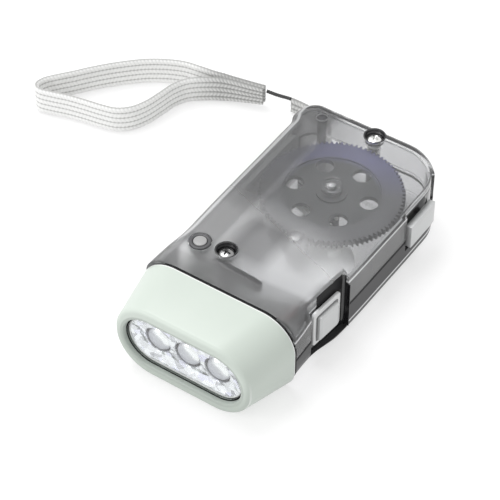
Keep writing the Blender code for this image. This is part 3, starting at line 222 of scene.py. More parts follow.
def turned_forward(profile, x, z, steps=64):
    """Spin a closed line of radius and y about an axis along y."""
    shape = turned(profile, (0, 0), steps)
    bmesh.ops.transform(shape, matrix=Matrix.Rotation(-QUARTER, 4, "X"), verts=shape.verts)
    bmesh.ops.translate(shape, verts=shape.verts, vec=(x, 0, z))
    return shape


def softened(profile, radius):
    """Round the corners of a closed profile, except on its axis."""
    points, count, steps = [], len(profile), 3
    for k in range(count):
        before, here, after = (Vector(profile[(k + d) % count]) for d in (-1, 0, 1))
        if here.x < 0.001:
            points.append(tuple(here))
            continue
        back, on = before - here, after - here
        reach = min(radius, back.length * 0.45, on.length * 0.45)
        start, end = here + back.normalized() * reach, here + on.normalized() * reach
        for j in range(steps + 1):
            t = j / steps
            points.append(tuple(start.lerp(here, t).lerp(here.lerp(end, t), t)))
    return points


def quarter(count):
    """Sine and cosine at even steps through a quarter turn."""
    turns = [QUARTER * k / count for k in range(count + 1)]
    return [(math.sin(turn), math.cos(turn)) for turn in turns]


def merged(*shapes):
    """Several bmeshes in one."""
    whole = shapes[0]
    for other in shapes[1:]:
        mesh = bpy.data.meshes.new("part")
        other.to_mesh(mesh)
        other.free()
        whole.from_mesh(mesh)
        bpy.data.meshes.remove(mesh)
    return whole


def bars(*rows):
    """Several upright bars in one shape: centre, radius, low and high of each."""
    return merged(*[bar(*row) for row in rows])


def bevelled(shape, width, segments=2, angle=40):
    """Round a shape's sharp edges."""
    sharp = [e for e in shape.edges
             if len(e.link_faces) == 2 and e.calc_face_angle() > math.radians(angle)]
    bmesh.ops.bevel(shape, geom=sharp, offset=width, offset_type="OFFSET", affect="EDGES",
                    segments=segments, profile=0.5, material=-1, clamp_overlap=True)
    return shape


def mesh_of(shape, name):
    """A bmesh as a mesh; the bmesh goes."""
    mesh = bpy.data.meshes.new(name)
    shape.to_mesh(mesh)
    shape.free()
    return mesh


def linked(name, data):
    """A new object in the scene."""
    thing = bpy.data.objects.new(name, data)
    bpy.context.scene.collection.objects.link(thing)
    return thing


def hold(shape, name="work"):
    """A bmesh as a scratch object."""
    return linked(name, mesh_of(shape, name))


def taken(thing):
    """A scratch object's mesh as a bmesh; the object goes."""
    shape = bmesh.new()
    shape.from_mesh(thing.data)
    bpy.data.objects.remove(thing, do_unlink=True)
    return shape


def combine(target, operation, *tools):
    """Cut, join or intersect a scratch object with shapes."""
    for tool_shape in tools:
        bmesh.ops.recalc_face_normals(tool_shape, faces=tool_shape.faces)
        tool = hold(tool_shape, "tool")
        step = target.modifiers.new("step", "BOOLEAN")
        step.operation = operation
        step.solver = "EXACT"
        step.object = tool
        view = bpy.context.evaluated_depsgraph_get()
        made = bpy.data.meshes.new_from_object(target.evaluated_get(view))
        target.modifiers.clear()
        target.data = made
        bpy.data.objects.remove(tool, do_unlink=True)


def place(name, shape, finish, body, replaces, sharp=35, soft=True):
    """Turn a bmesh in millimetres into a piece that rides on a body."""
    bmesh.ops.remove_doubles(shape, verts=shape.verts, dist=same_place)
    bmesh.ops.recalc_face_normals(shape, faces=shape.faces)
    bmesh.ops.scale(shape, verts=shape.verts, vec=(MM, MM, MM))
    mesh = mesh_of(shape, name)
    mesh.materials.append(finish)
    if soft:
        mesh.shade_smooth()
        mesh.set_sharp_from_angle(angle=math.radians(sharp))
    piece = linked(name, mesh)
    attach(piece, body)
    if replaces:
        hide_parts(*replaces)
    return piece


def trim(name, shape, finish, sharp=40):
    """A small piece of the case that has no solid of its own."""
    place(name, shape, finish, "case", (), sharp)


# ---------------------------------------------------------------- materials

class Wire:
    """A socket of a material that takes part in sums like a number."""

    def __init__(self, paint, socket):
        self.paint = paint
        self.socket = socket

    def math(self, operation, *others):
        return self.paint.node("Math", {"operation": operation}, self, *others)

    def __add__(self, other):
        return self.math("ADD", other)

    def __sub__(self, other):
        return self.math("SUBTRACT", other)

    def __mul__(self, other):
        return self.math("MULTIPLY", other)

    def __truediv__(self, other):
        return self.math("DIVIDE", other)

    def __rsub__(self, other):
        return self.paint.node("Math", {"operation": "SUBTRACT"}, other, self)

    __radd__ = __add__
    __rmul__ = __mul__

    def limited(self):
        return self.paint.node("Clamp", {}, self)


class Paint:
    """A material under construction."""

    def __init__(self, name):
        self.material = bpy.data.materials.new(name)
        self.material.use_nodes = True
        self.tree = self.material.node_tree
        self.tree.nodes.clear()

    def node(self, kind, settings=None, *values, out=0, **named):
        """A shader node: its settings first, then its sockets by order or by name."""
        made = self.tree.nodes.new("ShaderNode" + kind)
        for key, value in (settings or {}).items():
            if key == "stops":
                stops = made.color_ramp.elements
                while len(stops) < len(value):
                    stops.new(1.0)
                for stop, (where, colour) in zip(stops, value):
                    stop.position = where
                    stop.color = (*colour, 1.0)
            else:
                setattr(made, key, value)
        sockets = list(enumerate(values))
        sockets += [(key.replace("_", " "), value) for key, value in named.items()]
        for key, value in sockets:
            if isinstance(value, Wire):
                self.tree.links.new(value.socket, made.inputs[key])
            elif value is not None:
                socket = made.inputs[key]
                if isinstance(value, tuple) and len(value) == 3 and socket.type == "RGBA":
                    value = (*value, 1.0)
                socket.default_value = value
        return Wire(self, made.outputs[out])

    def where(self, stretch=(1, 1, 1)):
        """Object coordinates in metres, stretched."""
        return self.node("Mapping", {}, Vector=self.node("TexCoord", out="Object"), Scale=stretch)

    def axes(self, names):
        """The object coordinates that are asked for, in millimetres."""
        spot = self.node("TexCoord", out="Object")
        return [self.node("SeparateXYZ", {}, spot, out=axis) / MM for axis in names]

    def grain(self, scale, detail, stretch=(1, 1, 1), roughness=0.5):
        """Noise from 0 to 1."""
        return self.node("TexNoise", {}, Vector=self.where(stretch), Scale=scale, Detail=detail,
                         Roughness=roughness)

    def mix(self, mask, low, high):
        """A colour between two colours."""
        made = self.node("Mix", {"data_type": "RGBA"}, mask, out=2)
        for index, value in ((6, low), (7, high)):
            socket = made.socket.node.inputs[index]
            if isinstance(value, Wire):
                self.tree.links.new(value.socket, socket)
            else:
                socket.default_value = (*value, 1.0)
        return made

    def span(self, value, low, high, to_low=0.0, to_high=1.0):
        """Map a range of values to another, held at its ends."""
        return self.node("MapRange", {"clamp": True}, value, low, high, to_low, to_high)

    def near(self, value, middle, outer, inner):
        """1 where a value is within an inner distance of its middle, 0 beyond an outer one."""
        return self.span((value - middle).math("ABSOLUTE"), outer, inner)

    def rubbed(self):
        """Small rub marks, longest along the torch."""
        return self.span(self.grain(420.0, 6.0, (1, 0.35, 1), 0.7), 0.62, 0.78)

    def bump(self, height, strength, distance):
        return self.node("Bump", {}, Height=height, Strength=strength, Distance=distance * MM)

    def eroded(self, strength=0.06):
        """The fine texture of an eroded mould."""
        return self.bump(self.grain(5200.0, 2.0), strength, 0.03)

    def shader(self, colour, **sockets):
        return self.node("BsdfPrincipled", {}, Base_Color=colour, **sockets)

    def done(self, surface):
        output = self.tree.nodes.new("ShaderNodeOutputMaterial")
        self.tree.links.new(surface.socket, output.inputs["Surface"])
        return self.material

    def open_to_light(self, body, tint):
        """A clear material whose shadow lets the light through to what it holds."""
        clear = self.node("BsdfTransparent", {}, tint)
        shadow = self.node("LightPath", {}, out="Is Shadow Ray")
        return self.done(self.node("MixShader", {}, shadow, body, clear))


def darker(colour, share):
    """A colour times a number."""
    return tuple(c * share for c in colour)


def moulded(name, low, high, roughness, metallic=0.0, texture=0.06, coat=0.0, gloss=0.5):
    """Moulded plastic: a slow drift of tone, a fine eroded texture, small rub marks."""
    paint = Paint(name)
    drift, rub = paint.grain(90.0, 3.0), paint.rubbed()
    tone = paint.mix(drift, low, high)
    colour = paint.mix(rub * 0.25, tone, tuple(min(1.0, c * 1.12) for c in high))
    rough = drift * 0.08 + rub * 0.12 + (roughness - 0.06)
    return paint.done(paint.shader(colour, Roughness=rough, Metallic=metallic,
                                   Specular_IOR_Level=gloss, Coat_Weight=coat,
                                   Coat_Roughness=0.12, Normal=paint.eroded(texture)))


def metal(name, low, high, roughness):
    """Bare metal: dull patches and a fine grain."""
    paint = Paint(name)
    patch = paint.grain(260.0, 4.0)
    grain = paint.grain(2600.0, 3.0)
    colour = paint.mix(patch, low, high)
    rough = patch * 0.12 + grain * 0.1 + (roughness - 0.1)
    return paint.done(paint.shader(colour, Roughness=rough, Metallic=1.0,
                                   Normal=paint.bump(grain, 0.08, 0.02)))


def smoked(name, tint, haze_colour):
    """Smoke-grey clear plastic, hazy inside, which lets the light in to what it holds.

    It is clearest at its rear right, frosted towards its front left, and darker in its neck.
    Shade is painted on its side walls and a highlight along their upper edge.
    """
    paint = Paint(name)
    across, along, height = paint.axes("XYZ")
    # Places: the fold between roof and side, the neck, the walls, the floor and the rear
    fold = 1 - math.sin(crease_angle)
    fall = (front_shoulder_drop - shoulder_drop) * fold
    above = height - (case_top - shoulder_drop * fold - paint.span(along, -29.0, -13.0, fall, 0.0))
    neck = paint.span(along - across * 0.1, -22.0, -23.8)
    left = paint.span(across + along * 0.1, 6.0, -6.0)
    corner = paint.span(across, 6.0, 14.0)
    side = paint.span(above, 0.0, -0.4)
    low = paint.span(height, seam + 0.1, seam - 0.1)
    bottom = paint.span(height, 2.6, 1.9)
    inner = paint.span(across.math("ABSOLUTE"), 23.5, 22.0)
    plate = (bottom * inner + paint.span(along, 44.0, 47.0)).limited()
    # Painted shade on the side walls, deeper below the seam, kept off the floor and the rear
    wall_painted_shade, low_wall_painted_shade = side * (1 - plate), low * (1 - plate)
    # Cloudy places: frost, a painted glow under the roof where the flywheel lies, and painted shade
    # in its middle
    frost = paint.span(across * 0.35 + along, -12.0, 10.0, 0.42, 0.04)
    painted_glow = paint.span(along, 7.0, -4.0) * paint.span(along, -22.0, -16.0)
    middle = paint.near(across, -2.0, 9.0, 4.0) * paint.span(along, 4.0, -4.0) * painted_glow
    # Painted lines: a painted highlight along the fold and along the bottom's edge,
    # and a painted shade line beside a painted highlight on the roof's left edge
    crease = paint.near(above, 0.1, 0.5, 0.15)
    bottom_highlight = paint.near(height, 4.4, 0.5, 0.2)
    left_edge = paint.span(across, -10.0, -13.0) * paint.span(along, -24.0, -18.0) * (1 - side)
    shade_line = paint.span(height, 23.75, 23.45) * left_edge
    light_line = paint.near(height, 24.2, 0.4, 0.2) * left_edge
    drift = paint.grain(70.0, 2.0)
    flow = paint.grain(240.0, 3.0, (1, 0.3, 1))
    scuff = paint.span(paint.grain(700.0, 6.0, (1, 0.5, 1), 0.7), 0.6, 0.8)
    thick = paint.node("LayerWeight", {}, 0.3, out="Facing")
    colour = paint.mix(drift, darker(tint, 0.93), tint)
    # Tints: darker in the neck, at the right, left and floor and at grazing angles; painted shade
    # in the middle, on the side walls, below the seam and along the left edge
    for mask, share in ((neck, 0.62), (neck * corner * 0.3, 0.5), (middle * 0.8, 0.55),
                        (bottom * 0.8, 0.5), (shade_line * 0.8, 0.25),
                        (corner * (1 - neck) * (1 - side) * 0.5, 0.82),
                        (left * paint.span(along, -5.0, 30.0, 0.2, 0.5), 0.6),
                        (wall_painted_shade, 0.30), (low_wall_painted_shade, 0.09),
                        (paint.span(thick, 0.42, 0.75) * 0.85, 0.25)):
        colour = paint.mix(mask, colour, darker(tint, share))
    edge = paint.node("Bevel", {"samples": 4}, Radius=0.35 * MM)
    normal = paint.node("Bump", {}, Height=flow, Strength=0.05, Distance=0.2 * MM, Normal=edge)
    glass = paint.shader(colour, Roughness=scuff * 0.04 + flow * 0.03 + frost * (1 - side),
                         IOR=1.3, Transmission_Weight=1.0, Coat_Weight=0.35 - low * 0.25,
                         Coat_Roughness=0.05, Normal=normal)
    mist = haze_colour
    # Haze tones: a painted glow, painted shade in the middle, on the walls and below the seam, a
    # painted shade line and painted highlights
    for mask, tone in ((painted_glow, (0.7, 0.705, 0.71)), (middle, (0.25, 0.25, 0.255)),
                       (side, darker(haze_colour, 0.35)), (low, (0.05, 0.05, 0.052)),
                       (shade_line, (0.08, 0.08, 0.082)),
                       ((crease + bottom_highlight + light_line).limited(), (0.82, 0.83, 0.84))):
        mist = paint.mix(mask, mist, tone)
    cloud = paint.shader(mist, Roughness=0.3, Specular_IOR_Level=0.2, Coat_Weight=0.3 - low * 0.3,
                         Coat_Roughness=0.05, Normal=normal)
    lines = crease * 0.8 + bottom_highlight * 0.25 + shade_line * 0.6 + light_line * 0.35
    share = drift * 0.06 + 0.055 + painted_glow * 0.2 + wall_painted_shade * 0.38 + low_wall_painted_shade * 0.58 + lines
    body = paint.node("MixShader", {}, share.limited(), glass, cloud)
    return paint.open_to_light(body, (0.93, 0.93, 0.94))


def rimmed(name, low, high, line, rim_y):
    """Pale cap plastic: painted highlights on its edges, painted shade on its face and round its
    mouth.
    """
    paint = Paint(name)
    across, along, height = paint.axes("XYZ")
    drift, rub = paint.grain(90.0, 3.0), paint.rubbed()
    outward = (across.math("ABSOLUTE") - mouth[0] / 2 + mouth[2]).math("MAXIMUM", 0.0)
    rise = height - lamp_z
    from_mouth = (outward * outward + rise * rise).math("SQRT") - mouth[2]
    front = paint.span(along, front_y + 2.6, front_y + 2.3)
    lower = paint.span(rise, 5.0, -3.0) * front
    face = paint.span(along, front_y + 0.75, front_y + 0.45) * lower
    edge = paint.near(along, front_y + 1.05, 0.4, 0.2) * lower
    ring = paint.span(from_mouth, 1.3, 0.9) * front
    colour = paint.mix(drift, low, high)
    # Painted highlight on the rear rim and the lower front edge; painted shade on the lower front
    # face and round the mouth
    for mask, tone in ((paint.span(along, rim_y - 0.75, rim_y - 0.45), line),
                       (face, darker(low, 0.86)), (edge * 0.6, line), (ring, darker(low, 0.76))):
        colour = paint.mix(mask, colour, tone)
    return paint.done(paint.shader(colour, Roughness=drift * 0.08 + rub * 0.12 + 0.34,
                                   Normal=paint.eroded()))


pale = moulded("pale_plastic", (0.80, 0.82, 0.79), (0.85, 0.865, 0.84), 0.4)
silver = moulded("silver_plastic", (0.57, 0.58, 0.58), (0.68, 0.69, 0.69), 0.34, 0.35, 0.2)
# The cap's last colour is its painted highlight
pale_cap = rimmed("cap_plastic", (0.615, 0.68, 0.62), (0.655, 0.72, 0.66), (0.93, 0.95, 0.93),
                  joint_y)
# Black of painted shade, matte and glossy, for the sheets in gaps and hollows
shade_black = moulded("shade_black", (0.008, 0.008, 0.009), (0.013, 0.013, 0.014), 0.5, gloss=0.1)
glossy_shade_black = moulded("glossy_shade_black", (0.01, 0.01, 0.011), (0.02, 0.02, 0.022), 0.16, coat=0.4)
dark_post = moulded("dark_post", (0.06, 0.06, 0.065), (0.09, 0.09, 0.095), 0.3)
grey_pin = moulded("grey_pin_plastic", (0.34, 0.34, 0.34), (0.42, 0.42, 0.42), 0.3)
groove_shade_grey = moulded("groove_shade_grey", (0.14, 0.14, 0.145), (0.2, 0.2, 0.205), 0.45)
highlit_silver = moulded("highlit_silver", (0.74, 0.75, 0.75), (0.82, 0.825, 0.825), 0.3)
nylon = moulded("white_nylon", (0.78, 0.78, 0.76), (0.84, 0.84, 0.82), 0.45)
spool = moulded("spool_nylon", (0.74, 0.72, 0.62), (0.8, 0.78, 0.68), 0.45)
ferrite = moulded("ferrite", (0.035, 0.035, 0.04), (0.06, 0.06, 0.065), 0.6, 0.0, 0.3)
steel = metal("steel", (0.62, 0.62, 0.62), (0.74, 0.74, 0.74), 0.22)
bright_steel = metal("screw_steel", (0.78, 0.78, 0.77), (0.86, 0.86, 0.85), 0.16)
# A shaded copy of the screw steel: painted shade on the front screw
shaded_steel = metal("dark_screw_steel", (0.28, 0.28, 0.28), (0.4, 0.4, 0.4), 0.2)
tin = metal("tinned_sheet", (0.55, 0.55, 0.55), (0.66, 0.66, 0.65), 0.3)
cell_steel = metal("cell_steel", (0.70, 0.70, 0.71), (0.8, 0.8, 0.8), 0.2)
smoke = smoked("smoke_plastic", (0.85, 0.853, 0.862), (0.44, 0.445, 0.45))
# Dark grey of painted shade for a rib and an arc under the roof
rib_shade_grey = moulded("rib_shade_grey", (0.10, 0.10, 0.105), (0.13, 0.13, 0.135), 0.3)


def wheel_finish():
    """Milky plastic, grey on the pinion that stands above the disc."""
    paint = Paint("milky_plastic")
    height = paint.axes("Z")[0]
    drift = paint.grain(90.0, 3.0)
    tone = paint.mix(drift, (0.86, 0.87, 0.87), (0.93, 0.935, 0.93))
    colour = paint.mix(paint.span(height, 14.4, 15.0), tone, (0.16, 0.16, 0.165))
    return paint.done(paint.shader(colour, Roughness=drift * 0.08 + 0.34, Normal=paint.eroded()))


def gear_finish():
    """Dark gear plastic: a violet bloom on its rim and turning marks on its face."""
    paint = Paint("dark_gear_plastic")
    across, along = paint.axes("XY")
    across, along = across - gear_centre.x, along - gear_centre.y
    radius = (across * across + along * along).math("SQRT")
    rings = (radius * 3.0).math("SINE")
    rear_left = along * 0.92 - across * 0.4
    rim = paint.span(radius, 13.0, 15.5) * paint.span(rear_left, 0.0, 13.0)
    tone = paint.mix(paint.grain(160.0, 3.0), (0.016, 0.018, 0.018), (0.027, 0.029, 0.03))
    tone = paint.mix(paint.span(radius, 13.5, 16.0), tone, (0.07, 0.071, 0.076))
    colour = paint.mix(rim, tone, (0.06, 0.06, 0.16))
    rough = paint.grain(500.0, 3.0) * 0.14 + 0.3
    normal = paint.bump(rings, 0.03, 0.03)
    return paint.done(paint.shader(colour, Roughness=rough, Normal=normal))


def chrome_finish():
    """Vacuum-metallised plastic with a crinkled, slightly cloudy mirror and painted reflections."""
    paint = Paint("chromed_plastic")
    cloud = paint.grain(380.0, 4.0)
    cell = paint.node("TexVoronoi", {}, Vector=paint.where(), Scale=620.0)
    facet = paint.node("TexVoronoi", {}, Vector=paint.where((1, 1, 1.4)), Scale=430.0, out="Color")
    facet = paint.node("SeparateXYZ", {}, facet, out="X")
    colour = paint.mix(cloud, (0.86, 0.86, 0.89), (0.95, 0.95, 0.96))
    # Painted reflections: some facets darker, some lavender
    colour = paint.mix(paint.span(facet, 0.5, 0.95) * 0.75, colour, (0.3, 0.3, 0.33))
    colour = paint.mix(paint.span(facet, 0.22, 0.05) * 0.5, colour, (0.66, 0.64, 0.86))
    normal = paint.bump(cell, 0.25, 0.12)
    return paint.done(paint.shader(colour, Roughness=cloud * 0.06 + 0.04, Metallic=1.0,
                                   Normal=normal))


def epoxy_finish():
    """Clear resin of an LED with a trace of haze."""
    paint = Paint("led_epoxy")
    tint = (0.96, 0.96, 0.93)
    scuff = paint.span(paint.grain(900.0, 5.0), 0.6, 0.8)
    glass = paint.shader(tint, Roughness=scuff * 0.05 + 0.03, IOR=1.5, Transmission_Weight=1.0)
    cloud = paint.shader((0.95, 0.95, 0.9), Roughness=0.25)
    return paint.open_to_light(paint.node("MixShader", {}, scuff * 0.05 + 0.12, glass, cloud), tint)


def cup_finish():
    """Clear dome over a cup: painted highlight towards its upper right, painted shade at its lower
    left.
    """
    paint = Paint("cup_lens")
    across, height = paint.axes("XZ")
    across, height = across.math("WRAP", led_pitch / 2, -led_pitch / 2), height - lamp_z
    rise = across * 0.6 + height * 0.8
    radius = (across * across + height * height).math("SQRT")
    # Painted light: lighter towards the upper right, a painted highlight crescent, a painted shade
    # line at the lower left
    tone = paint.mix(paint.span(rise, -2.5, 3.0), (0.60, 0.60, 0.68), (0.88, 0.88, 0.9))
    painted_glint = paint.span(radius, 1.4, 2.4) * paint.span(rise, 0.9, 1.9)
    rim = paint.span(radius, 3.3, 3.6) * paint.span(rise, 0.6, -1.4)
    colour = paint.mix(painted_glint, tone, (1.0, 1.0, 1.0))
    colour = paint.mix(rim * 0.85, colour, (0.1, 0.1, 0.11))
    scuff = paint.span(paint.grain(900.0, 5.0), 0.6, 0.8)
    tint = (0.96, 0.96, 0.98)
    glass = paint.shader(tint, Roughness=scuff * 0.05 + 0.08, IOR=1.45, Transmission_Weight=1.0)
    cloud = paint.shader(colour, Roughness=0.2, Metallic=painted_glint * 0.85, Coat_Weight=0.5)
    body = paint.node("MixShader", {}, (painted_glint + rim).limited() * 0.25 + 0.72, glass, cloud)
    return paint.open_to_light(body, tint)


def lens_finish():
    """Thin clear window: only its sheen and a few scuffs show."""
    paint = Paint("clear_plastic")
    scuff = paint.span(paint.grain(900.0, 5.0), 0.62, 0.8)
    gloss = paint.node("BsdfGlossy", {}, (1.0, 1.0, 1.0), scuff * 0.2 + 0.03)
    clear = paint.node("BsdfTransparent", {}, (0.97, 0.98, 0.98))
    slant = paint.node("LayerWeight", {}, 0.5, out="Facing")
    return paint.done(paint.node("MixShader", {}, slant * slant * slant * 0.6 + 0.03, clear, gloss))


def woven_finish():
    """White braid: painted shade in its grooves, glossy filaments and some fuzz."""
    paint = Paint("white_webbing")
    depth = paint.node("Attribute", {"attribute_name": "groove"}, out="Fac")
    along = paint.node("UVMap", {"uv_map": "run"})
    lanes = paint.node("Mapping", {}, Vector=along, Scale=(900, 5200, 1))
    thread = paint.node("TexNoise", {}, Vector=lanes, Scale=1.0, Detail=2.0)
    fuzz = paint.grain(1500.0, 4.0)
    # Painted shade: grey in the grooves, white on the stitches
    shade = paint.node("ValToRGB", {"stops": ((0.0, (0.42, 0.42, 0.41)), (0.34, (0.88, 0.88, 0.87)),
                                              (0.6, (1.0, 1.0, 0.99)))}, depth)
    sewn = paint.span(paint.node("SeparateXYZ", {}, along, out="X") / MM, 24.0, 14.0)
    colour = paint.mix(sewn * (1 - depth).limited() * 0.9, shade, (0.16, 0.16, 0.155))
    colour = paint.mix(thread * 0.2, colour, (0.92, 0.92, 0.91))
    colour = paint.mix(sewn * 0.3, colour, (0.4, 0.4, 0.39))
    rough = fuzz * 0.2 + 0.55
    normal = paint.bump(thread * 0.6 + fuzz * 0.4, 0.35, 0.12)
    return paint.done(paint.shader(colour, Roughness=rough, Normal=normal, Sheen_Weight=0.3,
                                   Sheen_Roughness=0.4))


def thread_finish(name, low, high):
    """Twisted thread: slanted strands and fuzz."""
    paint = Paint(name)
    twist = paint.node("TexWave", {"bands_direction": "DIAGONAL"}, Vector=paint.where(),
                       Scale=700.0, Distortion=1.5)
    fuzz = paint.grain(2400.0, 3.0)
    colour = paint.mix(twist, low, high)
    normal = paint.bump(twist * 0.7 + fuzz * 0.3, 0.6, 0.15)
    return paint.done(paint.shader(colour, Roughness=fuzz * 0.2 + 0.5, Normal=normal))


def wire_finish(name, low, high):
    """Insulated lead with dull handling marks."""
    paint = Paint(name)
    mark = paint.grain(700.0, 4.0)
    return paint.done(paint.shader(paint.mix(mark, low, high), Roughness=mark * 0.2 + 0.3,
                                   Normal=paint.bump(mark, 0.1, 0.05)))


def winding_finish():
    """Enamelled copper: fine level turns."""
    paint = Paint("copper_winding")
    turns = paint.node("TexWave", {"bands_direction": "Z"}, Vector=paint.where(), Scale=1500.0)
    colour = paint.mix(turns, (0.35, 0.13, 0.05), (0.78, 0.36, 0.16))
    return paint.done(paint.shader(colour, Roughness=turns * 0.1 + 0.28, Metallic=0.85,
                                   Normal=paint.bump(turns, 0.7, 0.1)))


def board_finish():
    """Green solder mask over fibre cloth with faint copper areas."""
    paint = Paint("circuit_board")
    fibre = paint.node("TexWave", {"bands_direction": "X"}, Vector=paint.where(), Scale=900.0)
    copper = paint.span(paint.grain(130.0, 0.0), 0.52, 0.54)
    tone = paint.mix(copper, (0.03, 0.16, 0.07), (0.07, 0.30, 0.12))
    return paint.done(paint.shader(paint.mix(fibre * 0.15, tone, (0.2, 0.4, 0.22)), Roughness=0.35,
                                   Normal=paint.bump(copper, 0.3, 0.05)))


gear_dark = gear_finish()
milky = wheel_finish()
chrome = chrome_finish()
epoxy = epoxy_finish()
cup_clear = cup_finish()
lens_clear = lens_finish()
woven = woven_finish()
string_dark = thread_finish("dark_string", (0.03, 0.03, 0.03), (0.11, 0.11, 0.11))
red_lead = wire_finish("red_wire", (0.16, 0.012, 0.012), (0.24, 0.02, 0.018))
black_lead = wire_finish("black_wire", (0.015, 0.015, 0.015), (0.04, 0.04, 0.04))
copper_turns = winding_finish()
mask_green = board_finish()


# ---------------------------------------------------------------- strap and cords

# Routes of the strap's pieces, at the middle of their width, as the CAD has them
tab_route = [(-13.5, 46.8, 6.6), (-13.5, 44.9, 6.6), (-14.2, 43.2, 6.6), (-15.9, 42.5, 6.6),
             (-17.6, 43.2, 6.6), (-18.3, 44.9, 6.6), (-18.3, 48.0, 6.6), (-18.5, 51.5, 6.5),
             (-19.4, 55.5, 6.0), (-22.0, 59.5, 5.2), (-26.4, 62.4, 4.4),
             (-31.5, 64.1, 3.7), (-36.0, 64.8, 3.3), (-39.6, 64.8, 3.3)]
string_route = [(-39.9, 64.8, 5.5), (-41.5, 64.8, 5.3), (-43.6, 64.4, 5.3), (-45.8, 63.7, 5.7),
                (-47.9, 62.8, 6.5)]
strap_route = [(-48.4, 62.6, 5.3), (-51.8, 61.5, 5.3), (-56.0, 60.2, 5.3), (-60.5, 58.9, 5.3),
               (-65.0, 57.9, 5.3), (-70.0, 57.3, 5.3), (-75.5, 56.4, 5.3), (-81.0, 54.0, 5.3),
               (-86.6, 50.3, 5.3), (-91.2, 46.0, 5.3), (-95.6, 41.2, 5.3), (-99.4, 36.4, 5.3),
               (-102.6, 32.0, 5.3), (-105.6, 28.2, 5.3), (-108.0, 24.6, 5.3), (-108.4, 21.4, 5.3),
               (-106.2, 19.9, 5.3), (-102.0, 20.8, 5.3), (-96.6, 22.4, 5.3), (-90.8, 23.6, 5.3),
               (-85.0, 24.6, 5.3), (-80.2, 26.0, 5.3), (-76.6, 29.2, 5.3), (-74.4, 34.0, 5.3),
               (-73.2, 39.8, 5.3), (-72.2, 45.4, 5.3), (-70.0, 50.0, 5.3), (-65.9, 53.7, 5.3),
               (-61.6, 56.5, 5.3), (-57.0, 58.35, 5.3), (-52.4, 59.75, 5.3), (-48.2, 61.1, 5.3)]
red_route = [(12.0, -37.5, 13.0), (12.2, -34.0, 13.0), (13.4, -30.0, 14.2), (15.2, -26.5, 16.0),
             (16.8, -23.4, 16.6), (17.6, -18.2, 16.6)]
black_route = [(-9.0, -37.5, 8.0), (-9.2, -33.0, 7.8), (-10.2, -28.0, 5.0), (-10.75, -23.0, 2.9),
               (-10.8, -17.5, 2.6), (-10.2, -8.0, 2.6), (-9.4, 4.0, 2.6), (-8.8, 15.0, 2.7),
               (-8.4, 22.0, 3.4), (-8.2, 26.0, 3.8)]
strap_width, tab_width, strap_thickness, string_radius, lead_radius = 10.0, 6.0, 1.2, 0.6, 0.5
strap_end_share, end_taper = 0.7, 14.0


def line_length(points):
    """Length of a line of points."""
    return sum((b - a).length for a, b in zip(points, points[1:]))


def braid(route, full_width, lanes, end_share=1.0):
    """A flat braid on its edge: lanes of slanted stitches on both of its faces.

    Its groove attribute is 0 in a groove and 1 on a stitch. Its run is the distance from the
    nearer end and the place across the band, in metres.
    """
    stitch, stitch_rows, lane_steps, depth, edge_round = 1.2, 6, 5, 0.42, 0.55
    line = smooth_through(route, 12)
    length = line_length(line)
    rows = int(length / stitch) * stitch_rows
    points = even_steps(line, rows + 1)
    across = lanes * lane_steps
    core = strap_thickness / 2 - depth * 0.4
    shape = bmesh.new()
    groove = shape.verts.layers.float.new("groove")
    run = shape.loops.layers.uv.new("run")
    loops = []
    place_at = {}
    for row, point in enumerate(points):
        after = points[min(row + 1, rows)]
        before = points[max(row - 1, 0)]
        side = (after - before).normalized().cross(Vector((0, 0, 1))).normalized()
        step = row / stitch_rows
        from_end = min(row, rows - row) / rows * length
        open_share = min(1.0, from_end / end_taper)
        width = full_width * (end_share + (1 - end_share) * open_share)
        verts = []
        for face in (1, -1):
            for k in range(across + 1):
                share = k / across
                lane = min(int(share * lanes), lanes - 1)
                inside = share * lanes - lane
                slant = (0.5 - inside) * (1 if lane % 2 else -1)
                ridge = math.sin(math.pi * inside) ** 0.7
                wave = 0.5 + 0.5 * math.cos(TAU * (step + slant * 0.9 + face * 0.25))
                height = ridge * (0.45 + 0.55 * wave)
                edge = min(share, 1 - share) * width
                round_off = math.sqrt(max(0.0, 1 - (1 - min(edge / edge_round, 1.0)) ** 2))
                out = core * (0.35 + 0.65 * round_off) + depth * height * round_off
                rise = (share - 0.5) * (width - 0.3) * face
                made = shape.verts.new(point + side * face * out + Vector((0, 0, rise)))
                made[groove] = height
                verts.append(made)
                place_at[made] = (from_end, (share + (face < 0)) * width)
        loops.append([shape.edges.new((a, b)) for a, b in zip(verts, verts[1:] + verts[:1])])
    for near, far in zip(loops, loops[1:]):
        bmesh.ops.bridge_loops(shape, edges=near + far)
    for end in (loops[0], loops[-1]):
        bmesh.ops.contextual_create(shape, geom=end)
    for face in shape.faces:
        for corner in face.loops:
            u, v = place_at[corner.vert]
            corner[run].uv = (u * MM, v * MM)
    return shape, points, length


def cord_curve(name, points, radius, finish, body, replaces):
    """A lead or a spring as a round curve through points."""
    line = bpy.data.curves.new(name, "CURVE")
    line.dimensions = "3D"
    line.bevel_depth = radius * MM
    line.bevel_resolution = 6
    line.use_fill_caps = True
    run = line.splines.new("POLY")
    run.points.add(len(points) - 1)
    for dot, point in zip(run.points, points):
        dot.co = (*(Vector(point) * MM), 1)
    run.use_smooth = True
    line.materials.append(finish)
    piece = linked(name, line)
    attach(piece, body)
    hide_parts(*replaces)


